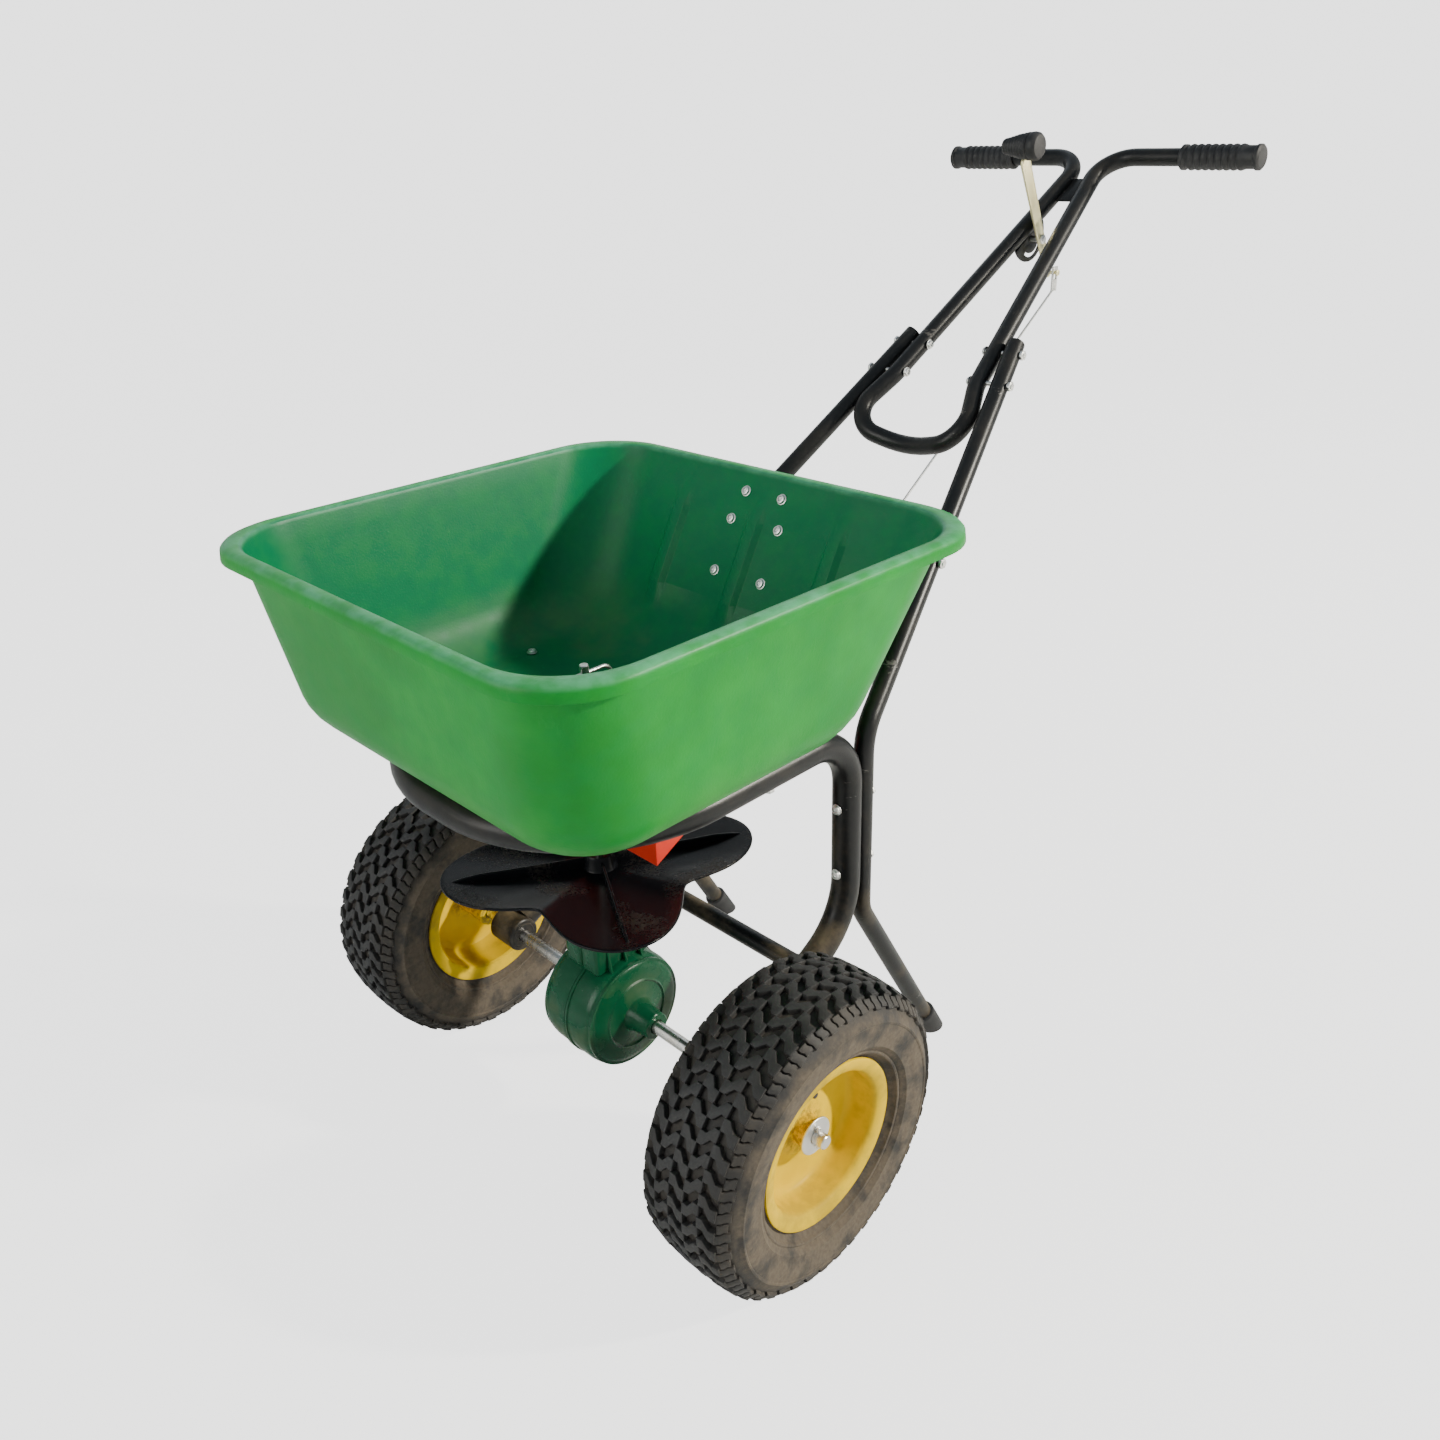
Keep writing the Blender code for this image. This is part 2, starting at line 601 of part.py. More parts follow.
def make_handle(looks, root, frame):
    bar = tube(upper_handle_path(), HANDLE_TUBE_RADIUS, HANDLE_WALL)
    upper = finish(bar, "upper_handle", looks["black"], root)
    lowers = {}
    for side, word in ((1, "right"), (-1, "left")):
        lower = finish(
            tube(lower_handle_path(side), HANDLE_TUBE_RADIUS, HANDLE_WALL),
            "lower_handle_" + word, looks["black"], root,
        )
        for place, setback in HANDLE_BOLT_SETBACKS:
            outside = lower_handle_point(setback)
            inside = arm_point(setback)
            height = (outside.z + inside.z) / 2
            head = Vector((side * (inside.x - HANDLE_TUBE_RADIUS - HEAD_STAND), setback, height))
            nut = Vector((side * (outside.x + HANDLE_TUBE_RADIUS + NUT_STAND), setback, height))
            bolt(f"handle_bolt_{word}_{place}", head, nut, looks["zinc"], root)
            over = X_AXIS * side * 0.01
            drill(lower, head - over, nut + over, BOLT_RADIUS + TOUCH)
            drill(upper, head - over, nut + over, BOLT_RADIUS + TOUCH)
        for place, height in FRAME_BOLT_HEIGHTS:
            head = Vector((side * FRAME_HALF_WIDTH, FRAME_REAR - FRAME_TUBE_RADIUS - TOUCH, height))
            nut = Vector((side * FRAME_HALF_WIDTH, HANDLE_FOOT + HANDLE_TUBE_RADIUS + TOUCH, height))
            bolt(f"frame_bolt_{word}_{place}", head, nut, looks["zinc"], root)
            drill(frame, head - Y_AXIS * 0.01, nut + Y_AXIS * 0.01, BOLT_RADIUS + TOUCH)
            drill(lower, head - Y_AXIS * 0.01, nut + Y_AXIS * 0.01, BOLT_RADIUS + TOUCH)
        grip_end = GRIP_HALF_SPAN
        bore_end = grip_end - GRIP_END_WALL
        bore = around(HANDLE_TUBE_RADIUS + TOUCH, GRIP_STEPS)
        outline = [
            (0, bore_end), (bore, bore_end), (bore, grip_end - GRIP_LENGTH),
            (GRIP_RADIUS, grip_end - GRIP_LENGTH), (GRIP_RADIUS, grip_end - 0.003),
            (GRIP_RADIUS - 0.003, grip_end), (0, grip_end),
        ]
        place = (0, GRIP_BAR_SETBACK, GRIP_BAR_HEIGHT)
        finish(turned(outline, X_AXIS * side, place, GRIP_STEPS), "grip_" + word, looks["grip"], root)
        make_foot(side, word, looks, root)
        lowers[side] = lower
    make_gusset(looks, root)
    return lowers


def make_foot(side, word, looks, root):
    """Plastic cap on the leg's end, with a flat sole on the floor."""
    tip = leg_tip()
    bend = Vector((FRAME_HALF_WIDTH, HANDLE_FOOT, HANDLE_LOW_BEND_HEIGHT))
    along = (bend - tip).normalized()
    radius = HANDLE_TUBE_RADIUS + FOOT_WALL
    start = tip - along * 0.02
    end = tip + along * FOOT_HEIGHT
    mirror = Matrix.Diagonal((side, 1, 1, 1))
    body = cylinder(radius, start, end, TUBE_SIDES)
    bmesh.ops.transform(body, matrix=mirror, verts=body.verts)
    foot = finish(body, "leg_foot_" + word, looks["grip"], root)
    low = (side * FRAME_HALF_WIDTH - 0.05, tip.y - 0.05, -0.1)
    below = box(low, (side * FRAME_HALF_WIDTH + 0.05, tip.y + 0.05, 0))
    combine(foot, finish(below, foot.name + "_floor_cut", None, root, False), "DIFFERENCE")
    clear = around(HANDLE_TUBE_RADIUS + TOUCH, TUBE_SIDES)
    bore = cylinder(clear, tip - along * TOUCH, end + along * 0.01, TUBE_SIDES)
    bmesh.ops.transform(bore, matrix=mirror, verts=bore.verts)
    combine(foot, finish(bore, foot.name + "_bore", None, root, False), "DIFFERENCE")


def make_gusset(looks, root):
    """Steel web between the two arms, just below the top bends."""
    half_sheet = GUSSET_SHEET / 2
    low = GUSSET_LOW_SETBACK
    high = GUSSET_HIGH_SETBACK
    outline = []
    for setback, side in ((low, 1), (high, 1), (high, -1), (low, -1)):
        centre = arm_point(setback)
        outline.append((side * (centre.x - HANDLE_TUBE_RADIUS - TOUCH), centre.y, centre.z))
    slope = (arm_point(0.9) - arm_point(0.8)).normalized()
    normal = Vector((0, -slope.z, slope.y)).normalized()
    web = prism(outline, -normal * half_sheet, normal * half_sheet)
    finish(web, "handle_gusset", looks["black"], root, False)


# --- Hopper ------------------------------------------------------------------------------


def hopper_size(height):
    """Half width, front, rear, corner radius and bow of the hopper's outside at a height."""
    share = (height - FLOOR_HEIGHT) / (RIM_HEIGHT - FLOOR_HEIGHT)
    mouth_half = HOPPER_HALF_WIDTH - LIP_WIDTH
    top = (mouth_half, HOPPER_FRONT + LIP_WIDTH, HOPPER_REAR - LIP_WIDTH, HOPPER_CORNER, SIDE_BOW)
    base = (BASE_HALF_WIDTH, BASE_FRONT, BASE_REAR, BASE_CORNER, 0.0)
    return [low + (high - low) * share for low, high in zip(base, top)]


def hopper_ring(bm, height, inset, rib, level):
    """One ring of the hopper, inset from its outside at a level, anticlockwise from the rear right."""
    half, front, rear, corner, bow = hopper_size(level)
    half, front, rear = half - inset, front + inset, rear - inset
    corner = max(corner - inset, 0.008)
    straight = half - bow
    middle = (rear + front + bow) / 2
    side_run = rear - front - bow - 2 * corner
    points = []
    for x_sign, y_edge, start in ((1, rear, 0), (-1, rear, 90), (-1, front + bow, 180), (1, front + bow, 270)):
        centre = (x_sign * (straight - corner), y_edge - corner if y_edge == rear else y_edge + corner)
        if start == 90:
            for place in (RIB_SPACING, 0.0, -RIB_SPACING):
                for offset, depth in ((1, 0), (0.55, 1), (-0.55, 1), (-1, 0)):
                    points.append((place + offset * RIB_HALF_WIDTH, rear - rib * depth))
        if start == 180:
            for share in (0.3, 0.0, -0.3):
                points.append((-straight - bow * (1 - share * share), middle + share * side_run))
        if start == 270:
            for share in (-0.5, 0.0, 0.5):
                points.append((share * (straight - corner), front + bow * share * share))
        points.extend(arc(centre, corner, start, start + 90, 4))
    for share in (-0.3, 0.0, 0.3):
        points.append((straight + bow * (1 - share * share), middle + share * side_run))
    return [bm.verts.new((x, y, height)) for x, y in points]


def make_hopper(looks, root):
    """Blow-moulded tub with a rolled lip, pressed ribs in its rear wall and a feed port in its floor."""
    bm = bmesh.new()
    wall = HOPPER_WALL
    under = RIM_HEIGHT - LIP_DROP
    skirt = -LIP_WIDTH + LIP_SHEET
    rib_foot = FLOOR_HEIGHT + BASE_ROUND + 0.020
    rib_head = under - 0.035
    wall_head = under - 0.012
    rings = []
    for angle in (90, 60, 30, 0):
        turn = math.radians(angle)
        rings.append((FLOOR_HEIGHT + BASE_ROUND * (1 - math.sin(turn)), BASE_ROUND * (1 - math.cos(turn)), 0.0))
    rings += [(rib_foot, 0, RIB_DEPTH), (rib_head, 0, RIB_DEPTH), (wall_head, 0, 0.0)]
    rings += [(RIM_HEIGHT - LIP_SHEET, 0, 0.0)]
    lip = [
        (RIM_HEIGHT - LIP_SHEET, skirt), (under, skirt), (under, -LIP_WIDTH), (RIM_HEIGHT - LIP_ROUND, -LIP_WIDTH),
        (RIM_HEIGHT, LIP_ROUND - LIP_WIDTH), (RIM_HEIGHT, 0),
    ]
    rings += [(height, inset, 0.0, RIM_HEIGHT) for height, inset in lip]
    rings += [(RIM_HEIGHT - LIP_ROUND, wall, 0.0), (wall_head, wall, 0.0), (rib_head, wall, RIB_DEPTH)]
    rings += [(rib_foot, wall, RIB_DEPTH)]
    for angle in (0, 30, 60, 90):
        turn = math.radians(angle)
        inner_round = BASE_ROUND - wall
        inset = wall + inner_round * (1 - math.cos(turn))
        rings.append((FLOOR_HEIGHT + wall + inner_round * (1 - math.sin(turn)), inset, 0.0))
    loops = [hopper_ring(bm, *ring[:3], ring[-1] if len(ring) > 3 else ring[0]) for ring in rings]
    for low, high in zip(loops, loops[1:]):
        stitch(bm, low, high)
    bm.faces.new(loops[0])
    bm.faces.new(loops[-1])
    hopper = finish(bm, "hopper", looks["green"], root)
    port_low = (-PORT_HALF_WIDTH, PORT_FRONT, FLOOR_HEIGHT - 0.01)
    port = box(port_low, (PORT_HALF_WIDTH, PORT_REAR, FLOOR_HEIGHT + 0.02))
    combine(hopper, finish(port, "hopper_port_cut", None, root, False), "DIFFERENCE")
    bush_hole = SHAFT_RADIUS + SHAFT_BUSH_WALL + TOUCH
    drill(hopper, (0, 0, FLOOR_HEIGHT - 0.01), (0, 0, FLOOR_HEIGHT + 0.02), bush_hole)
    return hopper


def rear_wall(height):
    """Outer face of the hopper's rear wall at a height, and the wall's outward normal."""
    low = hopper_size(FLOOR_HEIGHT)[2]
    rear = hopper_size(height)[2]
    lean = (hopper_size(RIM_HEIGHT)[2] - low) / (RIM_HEIGHT - FLOOR_HEIGHT)
    return Vector((0, rear, height)), Vector((0, 1, -lean)).normalized()


def make_hopper_fixings(looks, root, hopper, frame, lower_handles):
    """Brace behind the rear wall with its six bolts, and the two bolts through the floor."""
    bottom, normal = rear_wall(WALL_BOLT_ROWS[-1][1] - 0.018)
    top, normal = rear_wall(RIM_HEIGHT - LIP_DROP - 0.001)
    inner = normal * TOUCH
    outer = normal * (TOUCH + BRACE_SHEET)
    outline = []
    for x_sign, point in ((1, bottom), (1, top), (-1, top), (-1, bottom)):
        outline.append(point + X_AXIS * x_sign * BRACE_HALF_WIDTH)
    brace = finish(prism(outline, inner, outer), "hopper_brace", looks["black"], root, False)
    near_height = WALL_BOLT_ROWS[-1][1] + 0.020
    for side, word in ((1, "right"), (-1, "left")):
        tube_centre = lower_handle_point(BRACE_SETBACK)
        stations = []
        for setback in (None, BRACE_SETBACK - BRACE_TAB_REACH, BRACE_SETBACK + BRACE_TAB_REACH):
            station = []
            for lift in (-BRACE_ARM_HALF_DEPTH, BRACE_ARM_HALF_DEPTH):
                if setback is None:
                    face, normal = rear_wall(near_height + lift)
                    point = face + normal * (TOUCH + BRACE_SHEET / 2) + X_AXIS * (BRACE_HALF_WIDTH - BRACE_SHEET)
                else:
                    centre = lower_handle_point(setback)
                    inside = centre.x - HANDLE_TUBE_RADIUS - BRACE_TUBE_GAP - BRACE_SHEET
                    point = Vector((inside, setback, centre.z + lift))
                station.append(Vector((side * point.x, point.y, point.z)))
            outer = [point + X_AXIS * side * BRACE_SHEET for point in reversed(station)]
            stations.append(station + outer)
        web = finish(loft(stations), "brace_arm_" + word, None, root, False)
        combine(brace, web, "UNION")
        end_x = tube_centre.x - HANDLE_TUBE_RADIUS - BRACE_TUBE_GAP - BRACE_SHEET
        head = Vector((side * (end_x - NUT_STAND), BRACE_SETBACK, tube_centre.z))
        nut = Vector((side * (tube_centre.x + HANDLE_TUBE_RADIUS + NUT_STAND), BRACE_SETBACK, tube_centre.z))
        bolt("brace_bolt_" + word, head, nut, looks["zinc"], root)
        over = X_AXIS * side * 0.01
        drill(brace, head - over, nut + over, BOLT_RADIUS + TOUCH)
        drill(lower_handles[side], head - over, nut + over, BOLT_RADIUS + TOUCH)
    for row, (half_spacing, height) in enumerate(WALL_BOLT_ROWS):
        face, normal = rear_wall(height)
        for side, word in ((1, "right"), (-1, "left")):
            head = face - normal * (HOPPER_WALL + TOUCH) + X_AXIS * side * half_spacing
            nut = face + normal * (BRACE_SHEET + TOUCH * 2) + X_AXIS * side * half_spacing
            name = f"wall_bolt_{word}_{('top', 'middle', 'bottom')[row]}"
            bolt(name, head, nut, looks["zinc"], root)
            drill(hopper, head - normal * 0.01, nut + normal * 0.01, BOLT_RADIUS + TOUCH)
            drill(brace, head - normal * 0.01, nut + normal * 0.01, BOLT_RADIUS + TOUCH)
    for side, word in ((1, "right"), (-1, "left")):
        head = Vector((side * FRAME_HALF_WIDTH, FLOOR_BOLT_SETBACK, FLOOR_HEIGHT + HOPPER_WALL + HEAD_STAND))
        nut = Vector((head.x, head.y, FRAME_HEIGHT - FRAME_TUBE_RADIUS - TOUCH))
        bolt("floor_bolt_" + word, head, nut, looks["zinc"], root)
        drill(hopper, head + Z_AXIS * 0.01, nut - Z_AXIS * 0.01, BOLT_RADIUS + TOUCH)
        drill(frame, head + Z_AXIS * 0.01, nut - Z_AXIS * 0.01, BOLT_RADIUS + TOUCH)


# --- Gate --------------------------------------------------------------------------------


def make_gate(looks, root):
    """Slide gate and its rod, which move together, and the fixed guide and drop chute."""
    gate_slide = empty("gate_slide", (0, GATE_FRONT, GATE_HEIGHT), root)
    rear = GATE_FRONT + GATE_LENGTH
    tab = rear - GATE_TAB_LENGTH
    outline = [
        (-GATE_HALF_WIDTH, GATE_FRONT, 0), (GATE_HALF_WIDTH, GATE_FRONT, 0), (GATE_HALF_WIDTH, tab - 0.02, 0),
        (GATE_TAB_HALF_WIDTH, tab, 0), (GATE_TAB_HALF_WIDTH, rear, 0), (-GATE_TAB_HALF_WIDTH, rear, 0),
        (-GATE_TAB_HALF_WIDTH, tab, 0), (-GATE_HALF_WIDTH, tab - 0.02, 0),
    ]
    place = Vector((0, GATE_FRONT, GATE_HEIGHT))
    outline = [Vector(point) - Y_AXIS * GATE_FRONT for point in outline]
    plate = prism(outline, (0, 0, 0), (0, 0, GATE_SHEET))
    finish(plate, "slide_gate", looks["zinc"], gate_slide, False)

    side = GATE_HALF_WIDTH + TURNING
    wide = side + GUIDE_SIDE
    guide = finish(
        box((-wide, GUIDE_FRONT, GUIDE_HEIGHT), (wide, GUIDE_REAR, FLOOR_HEIGHT - TOUCH)),
        "gate_guide", looks["black"], root, False,
    )
    lane = box((-side, CHUTE_FRONT, GATE_HEIGHT - TOUCH), (side, GUIDE_REAR + 0.01, FLOOR_HEIGHT + 0.01))
    combine(guide, finish(lane, "guide_lane_cut", None, root, False), "DIFFERENCE")
    port = box(
        (-PORT_HALF_WIDTH, PORT_FRONT, GUIDE_HEIGHT - 0.01), (PORT_HALF_WIDTH, PORT_REAR, GATE_HEIGHT + 0.001)
    )
    combine(guide, finish(port, "guide_port_cut", None, root, False), "DIFFERENCE")
    bush_hole = SHAFT_RADIUS + SHAFT_BUSH_WALL + TOUCH
    drill(guide, (0, 0, GUIDE_HEIGHT - 0.01), (0, 0, FLOOR_HEIGHT + 0.01), bush_hole)

    top = GUIDE_HEIGHT - TOUCH
    section = [
        (0, CHUTE_FRONT, CHUTE_FRONT_HEIGHT), (0, CHUTE_REAR, CHUTE_REAR_HEIGHT), (0, CHUTE_REAR, top),
        (0, CHUTE_FRONT, top),
    ]
    wide = X_AXIS * CHUTE_HALF_WIDTH
    chute = finish(prism(section, -wide, wide), "drop_chute", looks["red"], root, False)
    inside = box(
        (-CHUTE_HALF_WIDTH + CHUTE_WALL, CHUTE_FRONT + CHUTE_WALL, CHUTE_FRONT_HEIGHT - 0.01),
        (CHUTE_HALF_WIDTH - CHUTE_WALL, CHUTE_REAR - CHUTE_WALL, top + 0.01),
    )
    combine(chute, finish(inside, "chute_inside_cut", None, root, False), "DIFFERENCE")

    pin = lever_tail_pin()
    low = GATE_HEIGHT - TOUCH - ROD_RADIUS
    link_foot = Vector((0, pin.y, pin.z - 0.021))
    corner_setback = link_foot.y - (link_foot.z - low) / ROD_SLOPE
    path = bent_path(
        [(0, rear - 0.05, low), (0, corner_setback, low), link_foot], [ROD_BEND]
    )
    path = [point - place for point in path]
    rod = finish(tube(path, ROD_RADIUS, 0.0, 8), "control_rod", looks["zinc"], gate_slide)
    link_outline = [
        (0, pin.y - LINK_HALF_WIDTH, pin.z - 0.024), (0, pin.y + LINK_HALF_WIDTH, pin.z - 0.024),
        (0, pin.y + LINK_HALF_WIDTH, pin.z + 0.008), (0, pin.y - LINK_HALF_WIDTH, pin.z + 0.008),
    ]
    link_outline = [Vector(point) - place for point in link_outline]
    link = finish(prism(link_outline, X_AXIS * -0.001, X_AXIS * 0.001), "rod_link", None, gate_slide, False)
    slot_low = Vector((0, pin.y, pin.z - 0.0065)) - place
    slot_high = Vector((0, pin.y, pin.z + 0.001)) - place
    slot = []
    for centre, start in ((slot_low, 180), (slot_high, 0)):
        for y, z in arc((centre.y, centre.z), LINK_PIN_RADIUS + TURNING, start, start + 180, 6):
            slot.append((0, y, z))
    slot_tool = finish(prism(slot, X_AXIS * -0.01, X_AXIS * 0.01), "link_slot_cut", None, gate_slide, False)
    combine(rod, link, "UNION")
    combine(rod, slot_tool, "DIFFERENCE")


# --- Flow control lever ------------------------------------------------------------------


def lever_tail_pin():
    """Centre of the pin at the lever's tail, as it stands at rest."""
    return Vector((
        0, LEVER_PIVOT_SETBACK + LEVER_TAIL * math.sin(LEVER_TILT),
        LEVER_PIVOT_HEIGHT - LEVER_TAIL * math.cos(LEVER_TILT),
    ))


def make_lever(looks, root):
    """The lever, its knob and its tail pin swing about the pivot bolt in the bracket."""
    pivot = Vector((LEVER_X, LEVER_PIVOT_SETBACK, LEVER_PIVOT_HEIGHT))
    lever_swing = empty("lever_swing", pivot, root)
    up = Vector((0, -math.sin(LEVER_TILT), math.cos(LEVER_TILT)))
    across = Vector((0, math.cos(LEVER_TILT), math.sin(LEVER_TILT)))
    outline = []
    for centre, start in ((LEVER_UP - LEVER_HALF_WIDTH, 0), (-LEVER_TAIL, 180)):
        size = LEVER_HALF_WIDTH if start == 0 else LEVER_HALF_WIDTH * 0.7
        for x, y in arc((0, centre), size, start, start + 180, 8):
            outline.append(across * x + up * y)
    half = X_AXIS * LEVER_SHEET / 2
    lever = finish(prism(outline, -half, half), "control_lever", looks["yellow_zinc"], lever_swing, False)
    drill(lever, -X_AXIS * 0.01, X_AXIS * 0.01, PIVOT_RADIUS + TOUCH)
    pin = -up * LEVER_TAIL
    reach = -LEVER_X + 0.004
    outline = [
        (0, 0), (LINK_PIN_RADIUS, 0), (LINK_PIN_RADIUS, reach), (0.0042, reach), (0.0042, reach + 0.0015),
        (0, reach + 0.0015),
    ]
    tail_pin = finish(turned(outline, X_AXIS, pin, 10), "lever_tail_pin", None, lever_swing)
    combine(lever, tail_pin, "UNION")

    knob_centre = up * (LEVER_UP + 0.0135)
    left = -KNOB_LENGTH / 2
    right = KNOB_LENGTH / 2
    outline = [
        (0, left), (KNOB_TIP_RADIUS, left + 0.002), (KNOB_RADIUS * 0.86, left + KNOB_LENGTH * 0.35),
        (KNOB_RADIUS, left + KNOB_LENGTH * 0.75), (KNOB_RADIUS * 0.94, right - 0.003), (KNOB_RADIUS * 0.72, right),
        (0, right),
    ]
    knob = finish(turned(outline, X_AXIS, knob_centre, 16), "lever_knob", looks["grip"], lever_swing)
    socket = []
    for x, y in ((-1, -0.03), (1, -0.03), (1, 0), (-1, 0)):
        point = across * x * (LEVER_HALF_WIDTH + TOUCH) + up * (LEVER_UP + TOUCH + y)
        socket.append(point)
    slot = prism(socket, -half - X_AXIS * TOUCH, half + X_AXIS * TOUCH)
    combine(knob, finish(slot, "knob_slot_cut", None, lever_swing, False), "DIFFERENCE")

    slope = (arm_point(0.9) - arm_point(0.8)).normalized()
    along = Vector((0, slope.y, slope.z)).normalized()
    below = Vector((0, along.z, -along.y))
    arm = arm_point(LEVER_PIVOT_SETBACK)
    plate_x = -arm.x
    offset = (pivot - Vector((plate_x, arm.y, arm.z)))
    middle = Vector((plate_x, arm.y, arm.z)) + along * offset.dot(along)
    edge = HANDLE_TUBE_RADIUS + TOUCH
    outline = [
        middle + along * (BRACKET_RADIUS * math.cos(math.radians(angle)))
        + below * (edge + BRACKET_RADIUS * math.sin(math.radians(angle)))
        for angle in range(0, 181, 15)
    ]
    half = X_AXIS * BRACKET_SHEET / 2
    bracket = finish(prism(outline, -half, half), "lever_bracket", looks["black"], root, False)
    centre = Vector((plate_x, pivot.y, pivot.z))
    drill(bracket, centre - X_AXIS * 0.01, centre + X_AXIS * 0.01, PIVOT_RADIUS + TOUCH)
    depth = (pivot - middle).dot(below)
    slot = []
    for radius, angles in ((0.0185, range(20, 161, 14)), (0.0235, range(160, 19, -14))):
        for angle in angles:
            turn = math.radians(angle)
            slot.append(middle + along * radius * math.cos(turn) + below * (depth + radius * math.sin(turn)))
    tool = prism(slot, X_AXIS * -0.01, X_AXIS * 0.01)
    combine(bracket, finish(tool, "bracket_slot_cut", None, root, False), "DIFFERENCE")

    start = plate_x - BRACKET_SHEET / 2 - TOUCH
    shoulder = plate_x + BRACKET_SHEET / 2 + TOUCH
    lever_low = LEVER_X - LEVER_SHEET / 2 - TOUCH
    lever_high = LEVER_X + LEVER_SHEET / 2 + TOUCH
    outline = [
        (0, start - 0.005), (0.0065, start - 0.005), (0.0065, start), (PIVOT_RADIUS, start),
        (PIVOT_RADIUS, shoulder), (0.0065, shoulder), (0.0065, lever_low), (PIVOT_RADIUS, lever_low),
        (PIVOT_RADIUS, lever_high), (0.0065, lever_high), (0.0065, lever_high + 0.004), (0, lever_high + 0.004),
    ]
    finish(
        turned(outline, X_AXIS, (0, pivot.y, pivot.z), 8), "lever_pivot_bolt", looks["zinc"], root
    )


# --- Gearbox and impeller ----------------------------------------------------------------


def make_crown_gear(looks, axle_spin):
    """Large face gear keyed on the axle; its teeth point towards the pinion."""
    bm = bmesh.new()
    root_height = PINION_REACH + TOOTH_CLEAR
    tip_height = root_height - TOOTH_HEIGHT
    back = root_height + 0.005
    outer = CROWN_PITCH_RADIUS + TOOTH_LENGTH / 2
    inner = CROWN_PITCH_RADIUS - TOOTH_LENGTH / 2
    profile = ((-0.30, 0), (-0.12, 1), (0.12, 1), (0.30, 0))
    bore = AXLE_RADIUS + TOUCH
    fine = {"outer": [], "inner": [], "web": []}
    coarse = {"rim_back": [], "hub": [], "hub_back": []}
    for index in range(CROWN_TEETH):
        for share, raised in profile:
            turn = 2 * math.pi * (index + share) / CROWN_TEETH
            unit = Vector((0, math.sin(turn), math.cos(turn)))
            level = X_AXIS * (tip_height if raised else root_height)
            fine["outer"].append(bm.verts.new(unit * outer + level))
            fine["inner"].append(bm.verts.new(unit * inner + level))
            fine["web"].append(bm.verts.new(unit * (inner - 0.003) + X_AXIS * root_height))
        turn = 2 * math.pi * (index - 0.5) / CROWN_TEETH
        unit = Vector((0, math.sin(turn), math.cos(turn)))
        coarse["rim_back"].append(bm.verts.new(unit * outer + X_AXIS * back))
        coarse["hub_back"].append(bm.verts.new(unit * bore + X_AXIS * back))
        coarse["hub"].append(bm.verts.new(unit * bore + X_AXIS * root_height))
    stitch(bm, fine["outer"], fine["inner"])
    stitch(bm, fine["inner"], fine["web"])
    stitch(bm, coarse["hub"], coarse["hub_back"])
    stitch(bm, coarse["hub_back"], coarse["rim_back"])
    for wide, narrow in ((fine["outer"], coarse["rim_back"]), (fine["web"], coarse["hub"])):
        many = len(profile)
        for index in range(CROWN_TEETH):
            after = (index + 1) % CROWN_TEETH
            tooth = wide[index * many:index * many + many]
            bm.faces.new([narrow[index]] + tooth + [narrow[after]])
            bm.faces.new([narrow[index], tooth[0], wide[index * many - 1]])
    return finish(bm, "drive_gear", looks["nylon"], axle_spin, False)


def make_pinion(looks, impeller_spin):
    """Small spur pinion on the impeller shaft, above the axle."""
    bm = bmesh.new()
    low = AXLE_HEIGHT + CROWN_PITCH_RADIUS - TOOTH_LENGTH / 2
    high = AXLE_HEIGHT + CROWN_PITCH_RADIUS + TOOTH_LENGTH / 2
    tip = PINION_REACH
    root_radius = PINION_REACH - TOOTH_HEIGHT
    bore = SHAFT_RADIUS + TOUCH
    profile = ((-0.34, 0), (-0.26, 0), (-0.10, 1), (0.10, 1), (0.26, 0))
    levels = {}
    for word, height in (("low", low), ("high", high)):
        for kind in ("edge", "bore"):
            ring = []
            for index in range(PINION_TEETH):
                for share, raised in profile:
                    turn = 2 * math.pi * (index + 0.5 + share) / PINION_TEETH
                    radius = (tip if raised else max(root_radius, bore + 0.001)) if kind == "edge" else bore
                    ring.append(bm.verts.new((radius * math.cos(turn), radius * math.sin(turn), height)))
            levels[word, kind] = ring
    stitch(bm, levels["low", "edge"], levels["high", "edge"])
    stitch(bm, levels["high", "edge"], levels["high", "bore"])
    stitch(bm, levels["high", "bore"], levels["low", "bore"])
    stitch(bm, levels["low", "bore"], levels["low", "edge"])
    return finish(bm, "pinion", looks["nylon"], impeller_spin, False)


def impeller_edge(angle):
    """Radius of the scalloped edge at an angle from the first lobe's middle."""
    swell = 0.5 + 0.5 * math.cos(IMPELLER_LOBES * angle)
    return IMPELLER_WAIST + (IMPELLER_RADIUS - IMPELLER_WAIST) * swell ** 0.8


